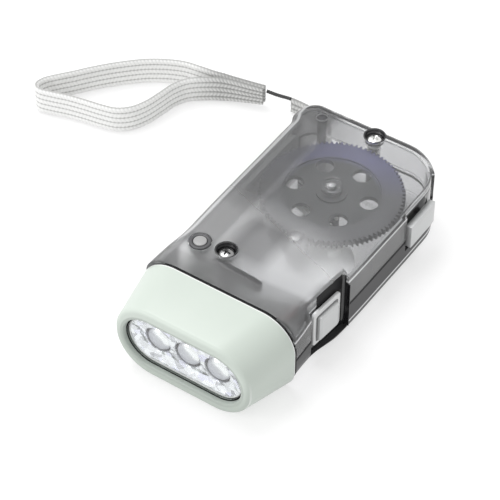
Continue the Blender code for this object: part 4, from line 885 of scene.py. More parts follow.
def twisted(route, radius, strands, pitch):
    """Strands that wind round a route."""
    turn_rows, sides = 10, 6
    line = smooth_through(route, 10)
    points = even_steps(line, int(line_length(line) / pitch * turn_rows) + 1)
    whole = []
    for strand in range(strands):
        rings = []
        for row, point in enumerate(points):
            along = (points[min(row + 1, len(points) - 1)] - points[max(row - 1, 0)]).normalized()
            side = along.cross(Vector((0, 0, 1))).normalized()
            up = side.cross(along)

            def outwards(turn):
                return side * math.cos(turn) + up * math.sin(turn)
            middle = point + outwards(TAU * (row / turn_rows + strand / strands)) * radius * 0.48
            rings.append([middle + outwards(TAU * k / sides) * radius * 0.56
                          for k in range(sides)])
        whole.append(skin(rings))
    return merged(*whole)


def build_strap():
    """Wrist strap, string and tab."""
    shape, points, length = braid(strap_route, strap_width, 5, end_share=strap_end_share)
    strap = place("wrist_braid", shape, woven, "case", ("wrist_strap",), 80)
    shape, tab_points, tab_length = braid(tab_route, tab_width, 3)
    tab = place("tab_braid", shape, woven, "case", ("strap_tab",), 80)
    string = place("twisted_string", twisted(string_route, string_radius, 3, 2.2), string_dark,
                   "case", ("strap_string",), 80)
    length * MM
    [tuple(p * MM) for p in points]
    tab_length * MM
    [tuple(p * MM) for p in tab_points]


build_strap()


# ---------------------------------------------------------------- case

def bottom_inset(height, radius):
    """How far the rounded lower edge draws the wall in at a height."""
    if height >= radius:
        return 0.0
    return radius - math.sqrt(radius ** 2 - (radius - height) ** 2)


def shoulder_inset(depth, drop, thickness):
    """How far the shoulder draws the wall in at a depth below the roof."""
    rise = 1 - depth / (drop - thickness)
    if rise <= math.sin(crease_angle):
        return 0.0
    return (shoulder_width - thickness) * (math.cos(crease_angle)
                                           - math.sqrt(max(0.0, 1 - rise ** 2)))


def case_outline(height, thickness, front):
    """The case's plan at one height, drawn in by its edges and a thickness."""
    above = height - thickness
    depth = case_top - thickness - height
    shoulder = shoulder_inset(depth, shoulder_drop, thickness)
    plain = bottom_inset(above, bottom_radius) + shoulder + thickness
    places = [case_front_y + share * (rear_y - case_front_y) for share in station_share]
    insets = []
    for s in edge_share:
        radius = front_bottom_radius + (bottom_radius - front_bottom_radius) * s
        drop = front_shoulder_drop + (shoulder_drop - front_shoulder_drop) * s
        insets.append(bottom_inset(above, radius) + shoulder_inset(depth, drop, thickness)
                      + thickness)
    right = [(half_width * s - inset, y) for s, inset, y in zip(right_share, insets, places)]
    left = [(inset - half_width * s, y) for s, inset, y in zip(left_share, insets, places)]
    right[0], left[0] = (right[0][0], front), (left[0][0], front)
    right_radius = max(rear_right_radius - plain, 1.2)
    left_radius = max(rear_left_radius - plain, 1.2)
    end = rear_y - plain + shoulder * (1 - rear_shoulder_share)
    corner = (half_width * right_share[-1] - plain - right_radius, end - right_radius)
    points = [tuple(p) for p in smooth_through(right, 5)]
    points += arc(corner, right_radius, 0, QUARTER, 16)
    corner = (plain - half_width * left_share[-1] + left_radius, end - left_radius)
    points += arc(corner, left_radius, QUARTER, 2 * QUARTER, 12)
    return points + [tuple(p) for p in reversed(smooth_through(left, 5))]


def case_heights(thickness):
    """Heights of the case's sections, closer where its edges are round."""
    low = [bottom_radius * (1 - cosine) for sine, cosine in quarter(6)]
    low += [4.5, 6.0, front_bottom_radius]
    high = []
    for k in range(17):
        turn = crease_angle + (QUARTER - crease_angle) * k / 16
        high.append(case_top - thickness - (front_shoulder_drop - thickness) * (1 - math.sin(turn)))
    crease = (shoulder_drop - thickness) * (1 - math.sin(crease_angle))
    high.append(case_top - thickness - crease)
    return [thickness + h for h in low] + sorted(high)


def case_solid(thickness=0.0, front=case_front_y):
    """The case without its neck, drawn in by a thickness."""
    return skin([[(x, y, h) for x, y in case_outline(h, thickness, front)]
                 for h in case_heights(thickness)])


def section(sizes, y, grow=0.0):
    """A rounded rectangle across the torch at one place along it."""
    width, height, radius, low = sizes
    plan = rounded(width + 2 * grow, height + 2 * grow, radius + grow, steps=16, low=low + grow)
    return [(x, y, lamp_z + z) for x, z in plan]


def bezel_inside(y, less):
    """Section of the room inside the bezel at a place along it."""
    share = (joint_y - y) / (joint_y - front_y - lip)
    less = bezel_wall + less
    sizes = [a + (b - a) * share for a, b in zip(bezel_rear, bezel_front)]
    return sizes[0] - 2 * less, sizes[1] - 2 * less, sizes[2] - less, sizes[3] - less


def to_pocket(shape):
    """From the switch's own frame to the torch's."""
    bmesh.ops.rotate(shape, verts=shape.verts, cent=(0, 0, 0),
                     matrix=Matrix.Rotation(switch_turn, 3, "Z"))
    bmesh.ops.translate(shape, verts=shape.verts, vec=(switch_face, switch_y, 0))
    return shape


def side_band(face, depth, front, rear, low, high):
    """A band along the case's right side, from a depth to a face, round its rear corner."""
    radius = rear_right_radius
    centre = (half_width * right_share[-1] - radius, rear_y - radius)
    turn = math.asin(min(1.0, max(0.0, (rear - centre[1]) / radius)))
    outer, inner = radius + face, radius + face - depth
    outside = [(centre[0] + outer, front)] + arc(centre, outer, 0, turn, 16)
    inside = [(centre[0] + inner, front)] + arc(centre, inner, 0, turn, 16)
    return prism(outside + inside[::-1], low, high)


def pocket_notch():
    """Notch for the switch knob, open to the side and the top."""
    corner = 1.0
    outline = [(3.2, pocket_front), (3.2, pocket_rear)]
    outline += arc((pocket_floor + corner, pocket_rear - corner), corner, QUARTER, 2 * QUARTER, 8)
    outline += [(pocket_floor, pocket_front + 0.5), (pocket_floor + 0.5, pocket_front)]
    return to_pocket(prism(outline, 3.0, case_top + over))


def case_shell():
    """Case skin with its front neck, still in one piece."""
    shell = hold(case_solid())
    neck_front, neck_rear = -37.7, case_front_y + wall
    outside = [section(bezel_inside(neck_front, gap), neck_front),
               section(bezel_inside(joint_y, gap), joint_y),
               section(bezel_inside(joint_y, gap), neck_rear - wall / 2)]
    less = gap + neck_wall
    inside = [section(bezel_inside(neck_front, less), neck_front - over),
              section(bezel_inside(joint_y, less), joint_y),
              section(bezel_inside(joint_y, less), neck_rear + over)]
    combine(shell, "UNION", skin(outside))
    space = hold(case_solid(wall, case_front_y + wall))
    block = to_pocket(box((pocket_floor - wall, pocket_front - wall, -over),
                          (2 * wall, pocket_rear + wall, case_top)))
    bay = side_band(over, over + 2 * recess_depth, lock_front - gap - wall, recess_rear + wall,
                    recess_low - wall, case_top)
    combine(space, "DIFFERENCE", block, bay)
    combine(shell, "DIFFERENCE", taken(space), skin(inside))
    return shell


def trimmed(shape):
    """Only what of a shape lies within the middle of the case's skin."""
    piece = hold(shape)
    combine(piece, "INTERSECT", case_solid(wall / 2))
    return taken(piece)


def dome(centre):
    """Small dome over an axle, rising from the roof."""
    radius, rise = 2.6, 0.7
    cap = [(radius * sine, case_top + rise * cosine) for sine, cosine in quarter(8)]
    return turned([*cap, (radius, roof_low - rise), (0, roof_low - rise)], centre, 48)


def openings():
    """Cutters that both covers share."""
    return [pocket_notch(),
            to_pocket(box((pocket_floor - 2 * wall, -2.5, 15.1), (0, 2.5, 18.1))),
            side_band(2 * over, 2 * over + recess_depth, lock_front - 0.9, recess_rear, recess_low,
                      case_top + over),
            box((half_width - 3 * wall, stem_front - gap, stem_middle - stem_half - gap),
                (half_width + over, stem_front + 8.0 + gap, stem_middle + stem_half + gap)),
            box((-60, -19.998, lever_low - gap), (lever_inner_x + gap, lever_rear + 0.6,
                                                  lever_high + gap))]


def roof_rib():
    """Straight rib under the roof in front of the screw, tapered towards the left."""
    start, end = Vector((-9.6, -21.4)), Vector((7.6, -22.5))
    along = (end - start).normalized()
    side = Vector((-along.y, along.x))
    wide = [(0.0, 0.15), (0.2, 0.7), (0.45, 0.95), (0.8, 1.05), (0.95, 0.85), (1.0, 0.35)]
    upper = [start.lerp(end, t) + side * w for t, w in wide]
    lower = [start.lerp(end, t) - side * w for t, w in wide]
    return prism([tuple(p) for p in lower + upper[::-1]], roof_low - 3.0, roof_low)


def shade_arc():
    """Curved arc of painted shade round the left of the flywheel."""
    ends = math.radians(150), math.radians(236)
    outer = arc(rotor_centre, 20.4, *ends, 32)
    inner = arc(rotor_centre, 17.9, *ends, 32)
    return prism(outer + inner[::-1], 12.6, 14.0)


def build_covers():
    """Top and bottom covers of smoked plastic."""
    shell = case_shell()
    far = 90
    side = post_radius + 1.2 + 0.9
    gate = (post.x - side, rear_y - 2 * wall, 3.0), (post.x + side, rear_y + over, seam + over)
    for name, node, low, high in (("top_shell", "top_cover", seam + seam_half, far),
                                  ("bottom_shell", "bottom_cover", -far, seam - seam_half)):
        half = linked(name, shell.data.copy())
        combine(half, "INTERSECT", box((-far, -far, low), (far, far, high)))
        if node == "top_cover":
            well_low, bore_high = case_top - well_depth - well_floor, case_top - 1
            solid = bars((front_screw, well_radius + well_wall, well_low, case_top),
                         (rear_screw, well_radius + well_wall, well_low, case_top),
                         (pivot, 4.5, case_top - 5.1, case_top),
                         (post, 2.75, (seam + case_top) / 2, case_top))
            domes = merged(dome(gear_centre), dome(rotor_centre))
            combine(half, "UNION", trimmed(solid), domes)
            holes = bars((front_screw, well_radius, case_top - well_depth, far),
                         (rear_screw, well_radius, case_top - well_depth, far),
                         (pivot, pin_head_radius + gap, case_top - pin_well_depth, far),
                         (post, post_radius + gap, seam, far))
            bores = bars((front_screw, axle_bore, seam, bore_high),
                         (rear_screw, axle_bore, seam, bore_high),
                         (pivot, pin_bore, seam, bore_high),
                         (gear_centre, axle_bore, seam, case_top - wall / 2),
                         (rotor_centre, axle_bore, seam, case_top - wall / 2))
            combine(half, "DIFFERENCE", holes, bores, *openings())
        else:
            solid = bars((front_screw, 2.0, 0, 21.0), (rear_screw, 2.0, 0, 21.0),
                         (gear_centre, 2.6, 0, 13.8), (rotor_centre, 2.6, 0, 3.4),
                         (pivot, 4.1, 0, 3.4), (post, 2.75, 0, 3.4))
            combine(half, "UNION", trimmed(solid))
            bores = bars(*[(centre, bore, wall, far) for centre, bore in
                           ((front_screw, axle_bore), (rear_screw, axle_bore),
                            (gear_centre, axle_bore), (rotor_centre, axle_bore),
                            (pivot, pin_bore), (post, post_bore))])
            combine(half, "DIFFERENCE", bores, *openings(), box(*gate))
        place(name, taken(half), smoke, "case", (node,), 32)
    bpy.data.objects.remove(shell, do_unlink=True)
    return gate


def build_shade_sheets(gate):
    """Painted shade: black in the seam, joint, pocket, recess and wells; dark grey on a rib and an
    arc.
    """
    # A black band of painted shade fills the seam between the covers
    seal = hold(skin([[(x, y, z) for x, y in case_outline(seam, -0.03, case_front_y - 0.03)]
                      for z in (seam - seam_half, seam + seam_half)]))
    core = case_outline(seam, wall - 0.1, case_front_y + wall)
    neck_half = bezel_inside(joint_y, gap + neck_wall)[0] / 2
    doorway = box((-neck_half, case_front_y - over, seam - over),
                  (neck_half, case_front_y + 2 * wall, seam + over))
    combine(seal, "DIFFERENCE", prism(core, seam - over, seam + over), *openings(), box(*gate),
            doorway)
    trim("seam_shade_band", taken(seal), shade_black, 32)
    # A black ring of painted shade at the bezel joint
    rings = [section(bezel_rear, joint_y + y, -less) for y, less in
             ((0, 0.3), (0.85, 0.3), (0.95, 0.45), (0.95, 1.6), (0, 1.6))]
    trim("joint_shade_ring", skin(rings, closed=True), shade_black)
    # Black lips and sleeves of painted shade round and inside the screw wells
    ring = [(3.4, case_top - 0.05), (3.4, case_top + 0.03), (3.3, case_top + 0.07),
            (2.95, case_top + 0.05), (2.62, case_top - 0.5), (2.62, case_top - 2.5),
            (2.95, case_top - 2.5), (2.95, case_top - 0.1)]
    trim("well_lip_front", turned(ring, front_screw, 56), glossy_shade_black)
    trim("well_lip_rear", turned(ring, rear_screw, 56), glossy_shade_black)
    # Black sheets of painted shade on the pocket's back wall and round its rear corner
    back, turn_at = pocket_floor + 0.14, (pocket_floor + 1, pocket_rear - 1)
    dark = box((pocket_floor, pocket_front + 5.0, 18.3), (back, pocket_rear - 0.9, 23.8))
    trim("pocket_shade", to_pocket(dark), shade_black)
    bend = arc(turn_at, 1.0, QUARTER, 2 * QUARTER, 8) + arc(turn_at, 0.86, 2 * QUARTER, QUARTER, 8)
    panels = [box((pocket_floor, 2.7, 3.2), (back, pocket_rear - 0.9, 18.3)),
              box((pocket_floor, pocket_front + 2.2, 3.2), (back, 2.7, 14.9)),
              box((pocket_floor + 0.9, pocket_rear - 0.14, 3.6), (-0.1, pocket_rear, 20.2)),
              prism(bend, 3.2, 23.2)]
    trim("pocket_shade_sheet", to_pocket(merged(*panels)), glossy_shade_black)
    # The recess's black sheets of painted shade leave the stem's path free
    corner_y, start, end = rear_y - rear_right_radius, lock_front - 0.85, lock_rear + 6.0
    strips = [side_band(shade_sheet_face, shade_sheet_wall, *span) for span in
              ((start, stem_front - 0.4, recess_low + 0.1, lock_high + 0.3),
               (start, end, lock_high + 0.3, 20.4),
               (corner_y, end, recess_low + 0.1, stem_middle - stem_half - gap),
               (corner_y, end, stem_middle + stem_half + gap, lock_high + 0.3))]
    trim("recess_shade_sheet", merged(*strips), glossy_shade_black)
    # The roof rib is real and its dark grey is painted shade; the arc is painted shade only
    trim("roof_rib", bevelled(roof_rib(), 0.25), rib_shade_grey)
    trim("wheel_shade_arc", bevelled(shade_arc(), 0.3), rib_shade_grey)


build_shade_sheets(build_covers())


# ---------------------------------------------------------------- lamp

def build_bezel():
    """Front cap: one skin from its rear rim over the face and back inside."""
    rim, inner = 0.5, 0.7
    rings = [section(bezel_rear, joint_y - rim * (1 - cosine), rim * (sine - 1))
             for sine, cosine in quarter(4)]
    rings += [section(bezel_front, front_y + bezel_edge * (1 - sine), bezel_edge * (cosine - 1))
              for sine, cosine in quarter(8)]
    rings += [section(mouth, front_y + inner * (1 - cosine), inner * (1 - sine))
              for sine, cosine in quarter(4)]
    rings += [section(mouth, front_y + lip), section(bezel_front, front_y + lip, -bezel_wall),
              section(bezel_rear, joint_y, -bezel_wall)]
    place("bezel_cap", skin(rings, closed=True), pale_cap, "case", ("bezel",), 40)


def build_window():
    """Clear window that fills the mouth, on a flange behind the lip, and a black ring of painted
    shade.
    """
    face, back = front_y + 1.5, front_y + lip + gap
    flange = bezel_inside(back, gap)
    rings = [section(mouth, face, -0.4), section(mouth, face + 0.1, -0.3),
             section(mouth, back, -0.3), section(flange, back), section(flange, back + lens_wall),
             section(mouth, back + lens_wall, -0.5), section(mouth, face + 0.35, -0.5)]
    place("lens_window", skin(rings), lens_clear, "case", ("lens",), 40)
    # A black ring of painted shade round the window's edge
    rings = [section(mouth, face + y, -less) for y, less in
             ((-0.1, 0.02), (0.1, 0.02), (0.1, 0.28), (-0.1, 0.28))]
    trim("lens_shade_ring", skin(rings, closed=True), shade_black)


def crinkled(size, near, deep, far):
    """A dished sheet of small facets, foremost along its edge and flat behind.

    The noise is seeded, because unseeded noise vectors change from run to run.
    """
    noise.seed_set(1)
    sheet = bmesh.new()
    bmesh.ops.create_grid(sheet, x_segments=34, y_segments=15, size=1)
    turn = Matrix.Rotation(QUARTER, 3, "X") @ Matrix.Diagonal((size[0] / 2 + 2, size[1] / 2 + 2, 1))
    bmesh.ops.transform(sheet, matrix=turn.to_4x4(), verts=sheet.verts)
    bmesh.ops.triangulate(sheet, faces=sheet.faces)
    core = size[0] / 2 - size[2]
    for vert in sheet.verts:
        inside = size[2] - math.hypot(max(abs(vert.co.x) - core, 0), vert.co.z)
        slope = min(1.0, max(0.0, inside / 3.2))
        jitter = noise.noise_vector(vert.co * 3.1)
        vert.co += Vector((jitter.x * 0.45, 0, jitter.z * 0.45))
        rise = 0.1 + 0.55 * slope
        vert.co.y = near + deep * slope + rise * abs(noise.noise(vert.co * 0.9))
        vert.co.z += lamp_z
    made = bmesh.ops.extrude_face_region(sheet, geom=sheet.faces)["geom"]
    for vert in [v for v in made if isinstance(v, bmesh.types.BMVert)]:
        vert.co.y = far
    bmesh.ops.recalc_face_normals(sheet, faces=sheet.faces)
    return sheet


def build_lamp():
    """Crinkled reflector with three cups, LEDs and the board."""
    plate_front = front_y + lip + gap + lens_wall + gap
    face = front_y + 3.3
    size = bezel_inside(front_y + lip, gap)
    front = mouth[0] - 1.3, mouth[1] - 1.3, mouth[2] - 0.65
    boss = hold(crinkled(front, face - 1.25, 1.0, plate_front + 1.2))
    combine(boss, "INTERSECT",
            forward_prism(rounded(*front, (0, lamp_z), 16), face - 2, plate_front + 1))
    combine(boss, "UNION", forward_prism(rounded(*size[:3], (0, lamp_z), 16), plate_front,
                                         plate_front + 0.9))
    spots = (-led_pitch, 0, led_pitch)
    cup = [(0, face - 2), (4.3, face - 2), (4.3, plate_front + 3), (0, plate_front + 3)]
    combine(boss, "DIFFERENCE", merged(*[turned_forward(cup, x, lamp_z) for x in spots]))
    edge = [section(mouth, front_y + y, -less) for y, less in
            ((2.3, 0.6), (2.05, 0.6), (1.93, 0.7), (1.93, 0.85), (2.05, 0.95), (2.6, 1.0),
             (3.4, 0.9))]
    place("reflector_edge", skin(edge, closed=True), nylon, "case", (), 50)
    place("reflector_plate", taken(boss), chrome, "case", ("reflector",),
          soft=False)
    hole, cup_mouth, back = 2.9, 4.25, front_y + 11.8
    deep = back - gap - 2.6 - face
    inner = [(hole + (cup_mouth - hole) * math.sqrt(1 - k / 12), face + deep * k / 12)
             for k in range(13)]
    outer = [(radius + 0.5, y + 0.35) for radius, y in inner[::-1]]
    rim = [(cup_mouth + 0.4, face), (cup_mouth + 0.2, face - 0.2)]
    dome_radius = cup_mouth - 0.45
    bulge = [(dome_radius * sine, face + 0.75 - 1.5 * cosine) for sine, cosine in quarter(10)]
    bulge += [(dome_radius, face + 1.3), (0, face + 1.3)]
    led, rear = 2.5, back - gap
    tip = rear - 7.2 + led
    profile = [(led * sine, tip - led * cosine) for sine, cosine in quarter(12)]
    profile += [(led, rear - 1.0), (2.85, rear - 0.95), (2.9, rear - 0.9), (2.9, rear - 0.05),
                (2.85, rear), (0, rear)]
    die = [(0, tip + 0.6), (0.25, tip + 0.6), (0.6, tip + 0.1), (0.85, tip + 0.1),
           (0.85, rear - 1.6), (0, rear - 1.6)]
    for number, x in enumerate(spots, start=1):
        place(f"reflector_cup_{number}", turned_forward(inner + outer + rim, x, lamp_z, 56),
              chrome, "case", (), 60)
        place(f"cup_lens_{number}", turned_forward(bulge, x, lamp_z, 56), cup_clear, "case", (),
              50)
        place(f"led_lens_{number}", turned_forward(profile, x, lamp_z, 40), epoxy, "case",
              (f"led_{number}",), 50)
        place(f"led_anvil_{number}", turned_forward(die, x, lamp_z, 24), bright_steel, "case", ())
    cad["led_board"].material_slots[0].material = mask_green


build_bezel()
build_window()
build_lamp()


# ---------------------------------------------------------------- lever

def handle_outline(inset):
    """Plan of the lever's handle, from its front tip round its outer face."""
    out_share = (0.56, 0.78, 0.89, 0.96, 1.0, 1.0, 0.97, 0.86, 0.62)
    along_share = (0.0, 0.09, 0.18, 0.32, 0.5, 0.86, 0.93, 0.975, 1.0)
    swell, length = lever_inner_x - lever_face_x, lever_rear - lever_front
    points = []
    for out, along in zip(out_share, along_share):
        x = lever_inner_x - swell * out + inset
        y = lever_front + length * along
        points.append((min(x, lever_inner_x), min(max(y, lever_front + inset), lever_rear - inset)))
    fine = [tuple(p) for p in smooth_through(points, 5)]
    fine = [(x, min(max(y, lever_front + inset), lever_rear - inset)) for x, y in fine]
    return [(lever_inner_x, lever_front + inset)] + fine + [(lever_inner_x, lever_rear - inset)]


def tooth_side(teeth, module, steps):
    """Radius and half angle of one tooth flank, from its root to its tip."""
    pitch = module * teeth / 2
    base = pitch * math.cos(math.radians(20))
    tip, root = pitch + 0.75 * module, pitch - 1.25 * module

    def roll(radius):
        angle = math.acos(min(1.0, base / radius))
        return math.tan(angle) - angle
    half = math.pi / (2 * teeth) * 0.84
    low = max(root, base)
    radii = [low + (tip - low) * k / steps for k in range(steps + 1)]
    side = [(radius, half + roll(pitch) - roll(radius)) for radius in radii]
    return [(root, side[0][1])] + side if root < low else side


def gear_outline(teeth, module, centre, phase, steps=3):
    """Plan of a gear, with the middle of one tooth at a phase."""
    side = tooth_side(teeth, module, steps)
    points = []
    for tooth in range(teeth):
        middle = phase + TAU * tooth / teeth
        points += [(radius, middle - half) for radius, half in side]
        points += [(radius, middle + half) for radius, half in side[::-1]]
    return [(centre[0] + radius * math.cos(turn), centre[1] + radius * math.sin(turn))
            for radius, turn in points]


def rack_outline():
    """Curved rack: teeth on its outer side, on an arc about the pivot."""
    side = tooth_side(rack_full_teeth, rack_module, 2)
    pitch = TAU / rack_full_teeth
    root = side[0][0]
    points = []
    for tooth in range(-7, 2):
        middle = rack_bearing + tooth * pitch
        points += [(middle - half, radius) for radius, half in side]
        points += [(middle + half, radius) for radius, half in side[::-1]]
    start = rack_bearing - 7.5 * pitch
    end = QUARTER + math.asin((pivot.x - lever_face_x - 0.9) / root)
    after = points[-1][0]
    points += [(after + (end - after) * k / 20, root) for k in range(1, 21)]
    points += [(end + (start - end) * k / 40, root - 2.6) for k in range(41)]
    points.append((start, root))
    return [(pivot.x + r * math.cos(a), pivot.y + r * math.sin(a)) for a, r in points]


def build_lever():
    """Handle, arm, hub and curved rack, and the pivot they turn on."""
    edge = 2.6
    rings = [(edge * (1 - sine), lever_low + edge * (1 - cosine)) for sine, cosine in quarter(8)]
    rings += [(inset, lever_low + lever_high - z) for inset, z in rings[::-1]]
    handle = hold(skin([[(x, y, z) for x, y in handle_outline(inset)] for inset, z in rings]))
    skin_wall = 1.8
    middle_x = (lever_face_x + lever_inner_x) / 2
    front, rear = lever_front, lever_rear
    hollow = [(lever_inner_x + over, front + 3 * skin_wall),
              (lever_inner_x + over, rear - 2 * skin_wall),
              (middle_x - skin_wall, rear - 2 * skin_wall),
              (middle_x - skin_wall, front + 7 * skin_wall),
              (middle_x + skin_wall, front + 3 * skin_wall)]
    combine(handle, "DIFFERENCE", prism(hollow, lever_low + skin_wall, lever_high - skin_wall))
    arm = [(pivot.x, pivot.y), (pivot.x + 1.2, pivot.y + 3.6),
           (lever_inner_x - skin_wall, front + 5 * skin_wall),
           (lever_inner_x - 2 * skin_wall, front + skin_wall / 2), (pivot.x - 3.6, pivot.y + 1.2)]
    arm_low, arm_high = lever_low + 2 * skin_wall, 18.6
    combine(handle, "UNION", prism(arm, arm_low, arm_high), bar(pivot, 4.0, arm_low, arm_high),
            prism(rack_outline(), 14.4, 16.6))
    combine(handle, "DIFFERENCE", bar(pivot, pin_bore, 0, case_top))
    place("lever_handle", taken(handle), pale, "lever", ("squeeze_lever",), 32)
    top = case_top + 0.3
    head_low = 21.7
    head = softened([(0, pin_low), (pin_radius, pin_low), (pin_radius, head_low),
                     (pin_head_radius, head_low), (pin_head_radius, top - 0.15),
                     (2.3, top - 0.15), (2.05, top - 0.5), (0, top - 0.5)], 0.3)
    place("pivot_pin", turned(head, pivot), dark_post, "case", ("lever_pivot_pin",))
    cap = softened([(0, top - 0.7), (1.95, top - 0.7), (1.95, top), (0, top)], 0.25)
    place("pivot_disc", turned(cap, pivot), grey_pin, "case", ())
    radius, wire, low, high, turns, turn_steps = 2.75, 0.35, 3.7, 8.5, 5, 32
    coil = []
    for k in range(turns * turn_steps + 1):
        turn = TAU * k / turn_steps
        rise = (high - low - 2 * wire) * k / (turns * turn_steps)
        coil.append((pivot.x + radius * math.cos(turn), pivot.y + radius * math.sin(turn),
                     low + wire + rise))
    cord_curve("torsion_spring", coil, wire, steel, "lever", ("lever_spring",))


build_lever()


# ---------------------------------------------------------------- gears

def build_gears():
    """Drive gear, flywheel with its pinion, and the turned pieces inside."""
    low, high, sunk = 18.9, 20.9, 0.6
    outline = gear_outline(gear_teeth, gear_module, gear_centre, rotor_bearing)
    gear = hold(prism(outline, low, high))
    tray = turned([(4.6, high - sunk), (14.6, high - sunk), (14.6, high + 1), (4.6, high + 1)],
                  gear_centre, 96)
    combine(gear, "DIFFERENCE", tray)
    window_count, window_radius, window_ring, above = 6, 2.8, 11.6, 30
    windows = []
    for k in range(window_count):
        turn = TAU * k / window_count + math.radians(12)
        centre = gear_centre + window_ring * Vector((math.cos(turn), math.sin(turn)))
        windows.append(bar(centre, window_radius, 0, above, 40))
    combine(gear, "DIFFERENCE", merged(*windows))
    combine(gear, "UNION", bar(gear_centre, 3.0, high - sunk, 22.3))
    combine(gear, "DIFFERENCE", bar(gear_centre, axle_bore, 0, above))
    place("toothed_wheel", taken(gear), gear_dark, "gear", ("drive_gear",), 30)
    top, low, disc_low, skirt = 14.0, 6.0, 11.8, 14.2
    profile = softened([(2.2, disc_low), (skirt, disc_low), (skirt, low), (17.0, low), (17.0, top),
                        (13.2, top), (13.0, top - 0.35), (6.0, top - 0.35), (5.8, top),
                        (2.2, top)], 0.4)
    wheel = hold(turned(profile, rotor_centre, 128))
    phase = rotor_bearing + math.pi + math.pi / rotor_teeth
    pinion = gear_outline(rotor_teeth, gear_module, rotor_centre, phase, 4)
    combine(wheel, "UNION", bar(rotor_centre, 2.5, disc_low, 18.6), prism(pinion, 18.3, 21.2))
    combine(wheel, "DIFFERENCE", bar(rotor_centre, axle_bore, 0, above))
    place("flywheel_disc", taken(wheel), milky, "rotor", ("flywheel",), 30)
    magnet = softened([(11.0, 4.9), (13.9, 4.9), (13.9, 11.5), (11.0, 11.5)], 0.3)
    place("magnet_ring", turned(magnet, rotor_centre, 96), ferrite, "rotor", ("ring_magnet",))
    stator, hole = 10.8, 2.9
    spool_radius, core = stator - 1.5, hole + 1.6
    bobbin = softened([(hole, 3.1), (spool_radius, 3.1), (spool_radius, 3.9), (core, 3.9),
                       (core, 9.5), (spool_radius, 9.5), (spool_radius, 10.3), (hole, 10.3)], 0.15)
    place("winding_spool", turned(bobbin, rotor_centre, 72), spool, "case", ("coil_bobbin",))
    copper = softened([(core + 0.3, 4.2), (spool_radius - 0.3, 4.2), (spool_radius - 0.3, 9.2),
                       (core + 0.3, 9.2)], 0.3)
    place("wound_coil", turned(copper, rotor_centre, 72), copper_turns, "case", ("coil_winding",))
    cell_centre, cell_pitch = (-8.2, 34.198), 4.0
    for number in range(3):
        low = pin_low + cell_pitch * number
        can = softened([(0, low), (7.0, low), (7.8, low + 0.4), (7.8, low + 3.3), (7.3, low + 3.3),
                        (6.6, low + 3.45), (6.2, low + 3.7), (0, low + 3.7)], 0.25)
        place(f"cell_{number + 1}", turned(can, cell_centre, 72), cell_steel, "case",
              (f"battery_cell_{number + 1}",))
    for name, node, centre, radius, high, finish in (
            ("gear_pin", "gear_axle", gear_centre, axle_radius, axle_high, steel),
            ("rotor_pin", "flywheel_axle", rotor_centre, axle_radius, axle_high, steel),
            ("strap_pin", "strap_post", post, post_radius, post_high, dark_post)):
        pin = softened([(0, pin_low), (radius, pin_low), (radius, high), (0, high)], 0.3)
        place(name, turned(pin, centre, 40), finish, "case", (node,))
    for node, finish in (("ratchet_pinion", nylon), ("ratchet_pawl", steel), ("stator_lower", tin),
                         ("stator_upper", tin)):
        cad[node].material_slots[0].material = finish


def build_screws():
    """Two pan-head screws with a cross recess."""
    seat, high, head, shank = 22.6, 24.1, 2.5, 1.0
    pan = [(head * cosine, seat + 0.7 + 0.8 * sine) for sine, cosine in quarter(6)[:-1]]
    profile = [(0, pin_low), (0.5, pin_low), (shank, 2.6), (shank, seat), (2.4, seat),
               (head, seat + 0.1), *pan, (0.6, high), (0, high)]
    # The front screw takes the shaded copy of the steel, painted shade
    for name, centre, finish in (("screw_front", front_screw, shaded_steel),
                                 ("screw_rear", rear_screw, bright_steel)):
        screw = hold(turned(profile, centre, 48))
        for wide, narrow in ((0.36, 1.6), (1.6, 0.36)):
            top = rounded(2 * wide, 2 * narrow, 0.15, centre, 3)
            low = rounded(wide, narrow, 0.06, centre, 3)
            combine(screw, "DIFFERENCE", skin([[(x, y, high - 0.9) for x, y in low],
                                               [(x, y, high + 0.3) for x, y in top]]))
        place(name.replace("screw", "pan_screw"), taken(screw), finish, "case", (name,))


build_gears()
build_screws()


# ---------------------------------------------------------------- sliders and leads

def build_switch():
    """Stepped knob in its pocket and the metal-cased switch behind it."""
    middle = (-1.1, 12.7)
    plate = rounded(12.2, 12.8, 1.0, (-1.1, 13.0), 5)
    block, top = rounded(8.8, 9.0, 0.7, middle, 5), rounded(7.2, 7.4, 0.5, middle, 5)
    outer, inner = rounded(9.9, 10.1, 0.9, middle, 5), rounded(8.7, 8.9, 0.7, middle, 5)

    def outwards(*rings, closed=False):
        return skin([[(x, y, z) for y, z in ring] for x, ring in rings], closed)
    base = bevelled(outwards((-2.3, plate), (-1.3, plate)), 0.25, 3)
    raised = bevelled(outwards((-1.6, block), (-0.45, block), (0, top)), 0.18, 3, 25)
    # A dark grey ring of painted shade where the groove runs round the block
    moat = outwards((-1.5, outer), (-1.27, outer), (-1.27, inner), (-1.5, inner), closed=True)
    stem = box((-4.5, -2.2, 15.4), (-1.8, 0, 17.8))
    # The plate takes a lighter copy of the block's silver: painted highlight
    place("switch_slider", to_pocket(merged(base, stem)), highlit_silver, "knob", ("switch_knob",),
          35)
    place("switch_block", to_pocket(raised), silver, "knob", (), 35)
    place("switch_groove", to_pocket(moat), groove_shade_grey, "knob", (), 35)
    body = bevelled(box((-8.4, -4.3, 14.7), (-4.8, 4.3, 18.5)), 0.3, 3)
    place("switch_can", to_pocket(body), tin, "case", ("slide_switch",))


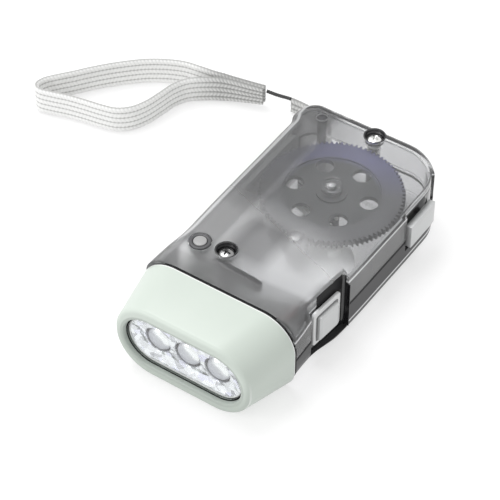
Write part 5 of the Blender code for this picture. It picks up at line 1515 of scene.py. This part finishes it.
def build_lock():
    """Tab that follows the rear right corner, with its stem and catch."""
    face = lock_face - half_width * right_share[-1]
    tab = bevelled(side_band(face, 2.1, lock_front, lock_rear, lock_low, lock_high), 0.35, 3, 50)
    inner, rear = half_width - 2 * wall - recess_depth - gap, stem_front + 4
    low, high = stem_middle - stem_half, stem_middle + stem_half
    stem = box((inner, stem_front, low), (lock_face - 1.05, rear, high))
    catch = bevelled(box((inner - wall, stem_front - wall, low),
                         (inner + wall / 2, rear + wall, high)), 0.2)
    place("lock_tab", merged(tab, stem, catch), silver, "lock", ("lock_slider",))


def build_leads():
    """Two leads from the board to the switch and the cells."""
    for name, route, finish, node, slot in (
            ("lead_red", red_route, red_lead, "wire_red", "red_wire"),
            ("lead_black", black_route, black_lead, "wire_black", "black_wire")):
        cord_curve(name, smooth_through(route, 8), lead_radius, finish, "case", (node,))


build_switch()
build_lock()
build_leads()


# ---------------------------------------------------------------- floor, light and camera

def build_stage():
    """White floor that keeps the torch's shadow, and a white surround."""
    sheet = bmesh.new()
    bmesh.ops.create_grid(sheet, x_segments=2, y_segments=2, size=3.0)
    floor = linked("floor", mesh_of(sheet, "floor"))
    paint = Paint("floor_white")
    seen = paint.node("LightPath", {}, out="Is Camera Ray")
    glossy = paint.node("LightPath", {}, out="Is Glossy Ray")
    through = paint.node("LightPath", {}, out="Is Transmission Ray")
    shown = (seen + glossy + through).limited()
    plain = paint.node("BsdfDiffuse", {}, (0.8, 0.8, 0.8))
    shaded = paint.node("BsdfDiffuse", {}, (0.47, 0.47, 0.47))
    glow = paint.node("Emission", {}, (1, 1, 1), 0.6)
    lit = paint.node("AddShader", {}, shaded, glow)
    floor.data.materials.append(paint.done(paint.node("MixShader", {}, shown, plain, lit)))
    world = bpy.data.worlds.new("surround")
    bpy.context.scene.world = world
    world.use_nodes = True
    paint = Paint.__new__(Paint)
    paint.tree = world.node_tree
    paint.tree.nodes.clear()
    lit = paint.node("LightPath", {}, out="Is Diffuse Ray")
    strength = 1.0 - lit * 0.32
    surround = paint.node("Background", {}, (1, 1, 1), strength)
    output = paint.tree.nodes.new("ShaderNodeOutputWorld")
    paint.tree.links.new(surround.socket, output.inputs["Surface"])


def aimed(thing, place_at, aim):
    """Put a lamp or the camera in its place, turned to what it points at."""
    thing.location = place_at
    turn = (Vector(aim) - Vector(place_at)).to_track_quat("-Z", "Y")
    thing.rotation_euler = turn.to_euler()


def lamp(name, place_at, size, power):
    """A round soft lamp that points at the torch."""
    light = bpy.data.lights.new(name, "AREA")
    light.shape = "DISK"
    light.size = size
    light.energy = power
    aimed(linked(name, light), place_at, (0, 0, 0))


def build_view():
    """Soft studio light, and the camera at the photograph's angle."""
    lamp("key", (-0.35, 0.15, 0.85), 0.55, 3.6)
    lamp("fill", (-0.45, -0.65, 0.45), 0.5, 2.0)
    data = bpy.data.cameras.new("camera")
    data.lens = 144
    data.sensor_width = 36
    data.clip_start = 0.01
    camera = linked("camera", data)
    aimed(camera, (0.2200, -0.3408, 0.4253), (-0.00823, -0.00510, 0.01377))
    bpy.context.scene.camera = camera
    bpy.context.scene.view_settings.view_transform = "Standard"


build_stage()
build_view()
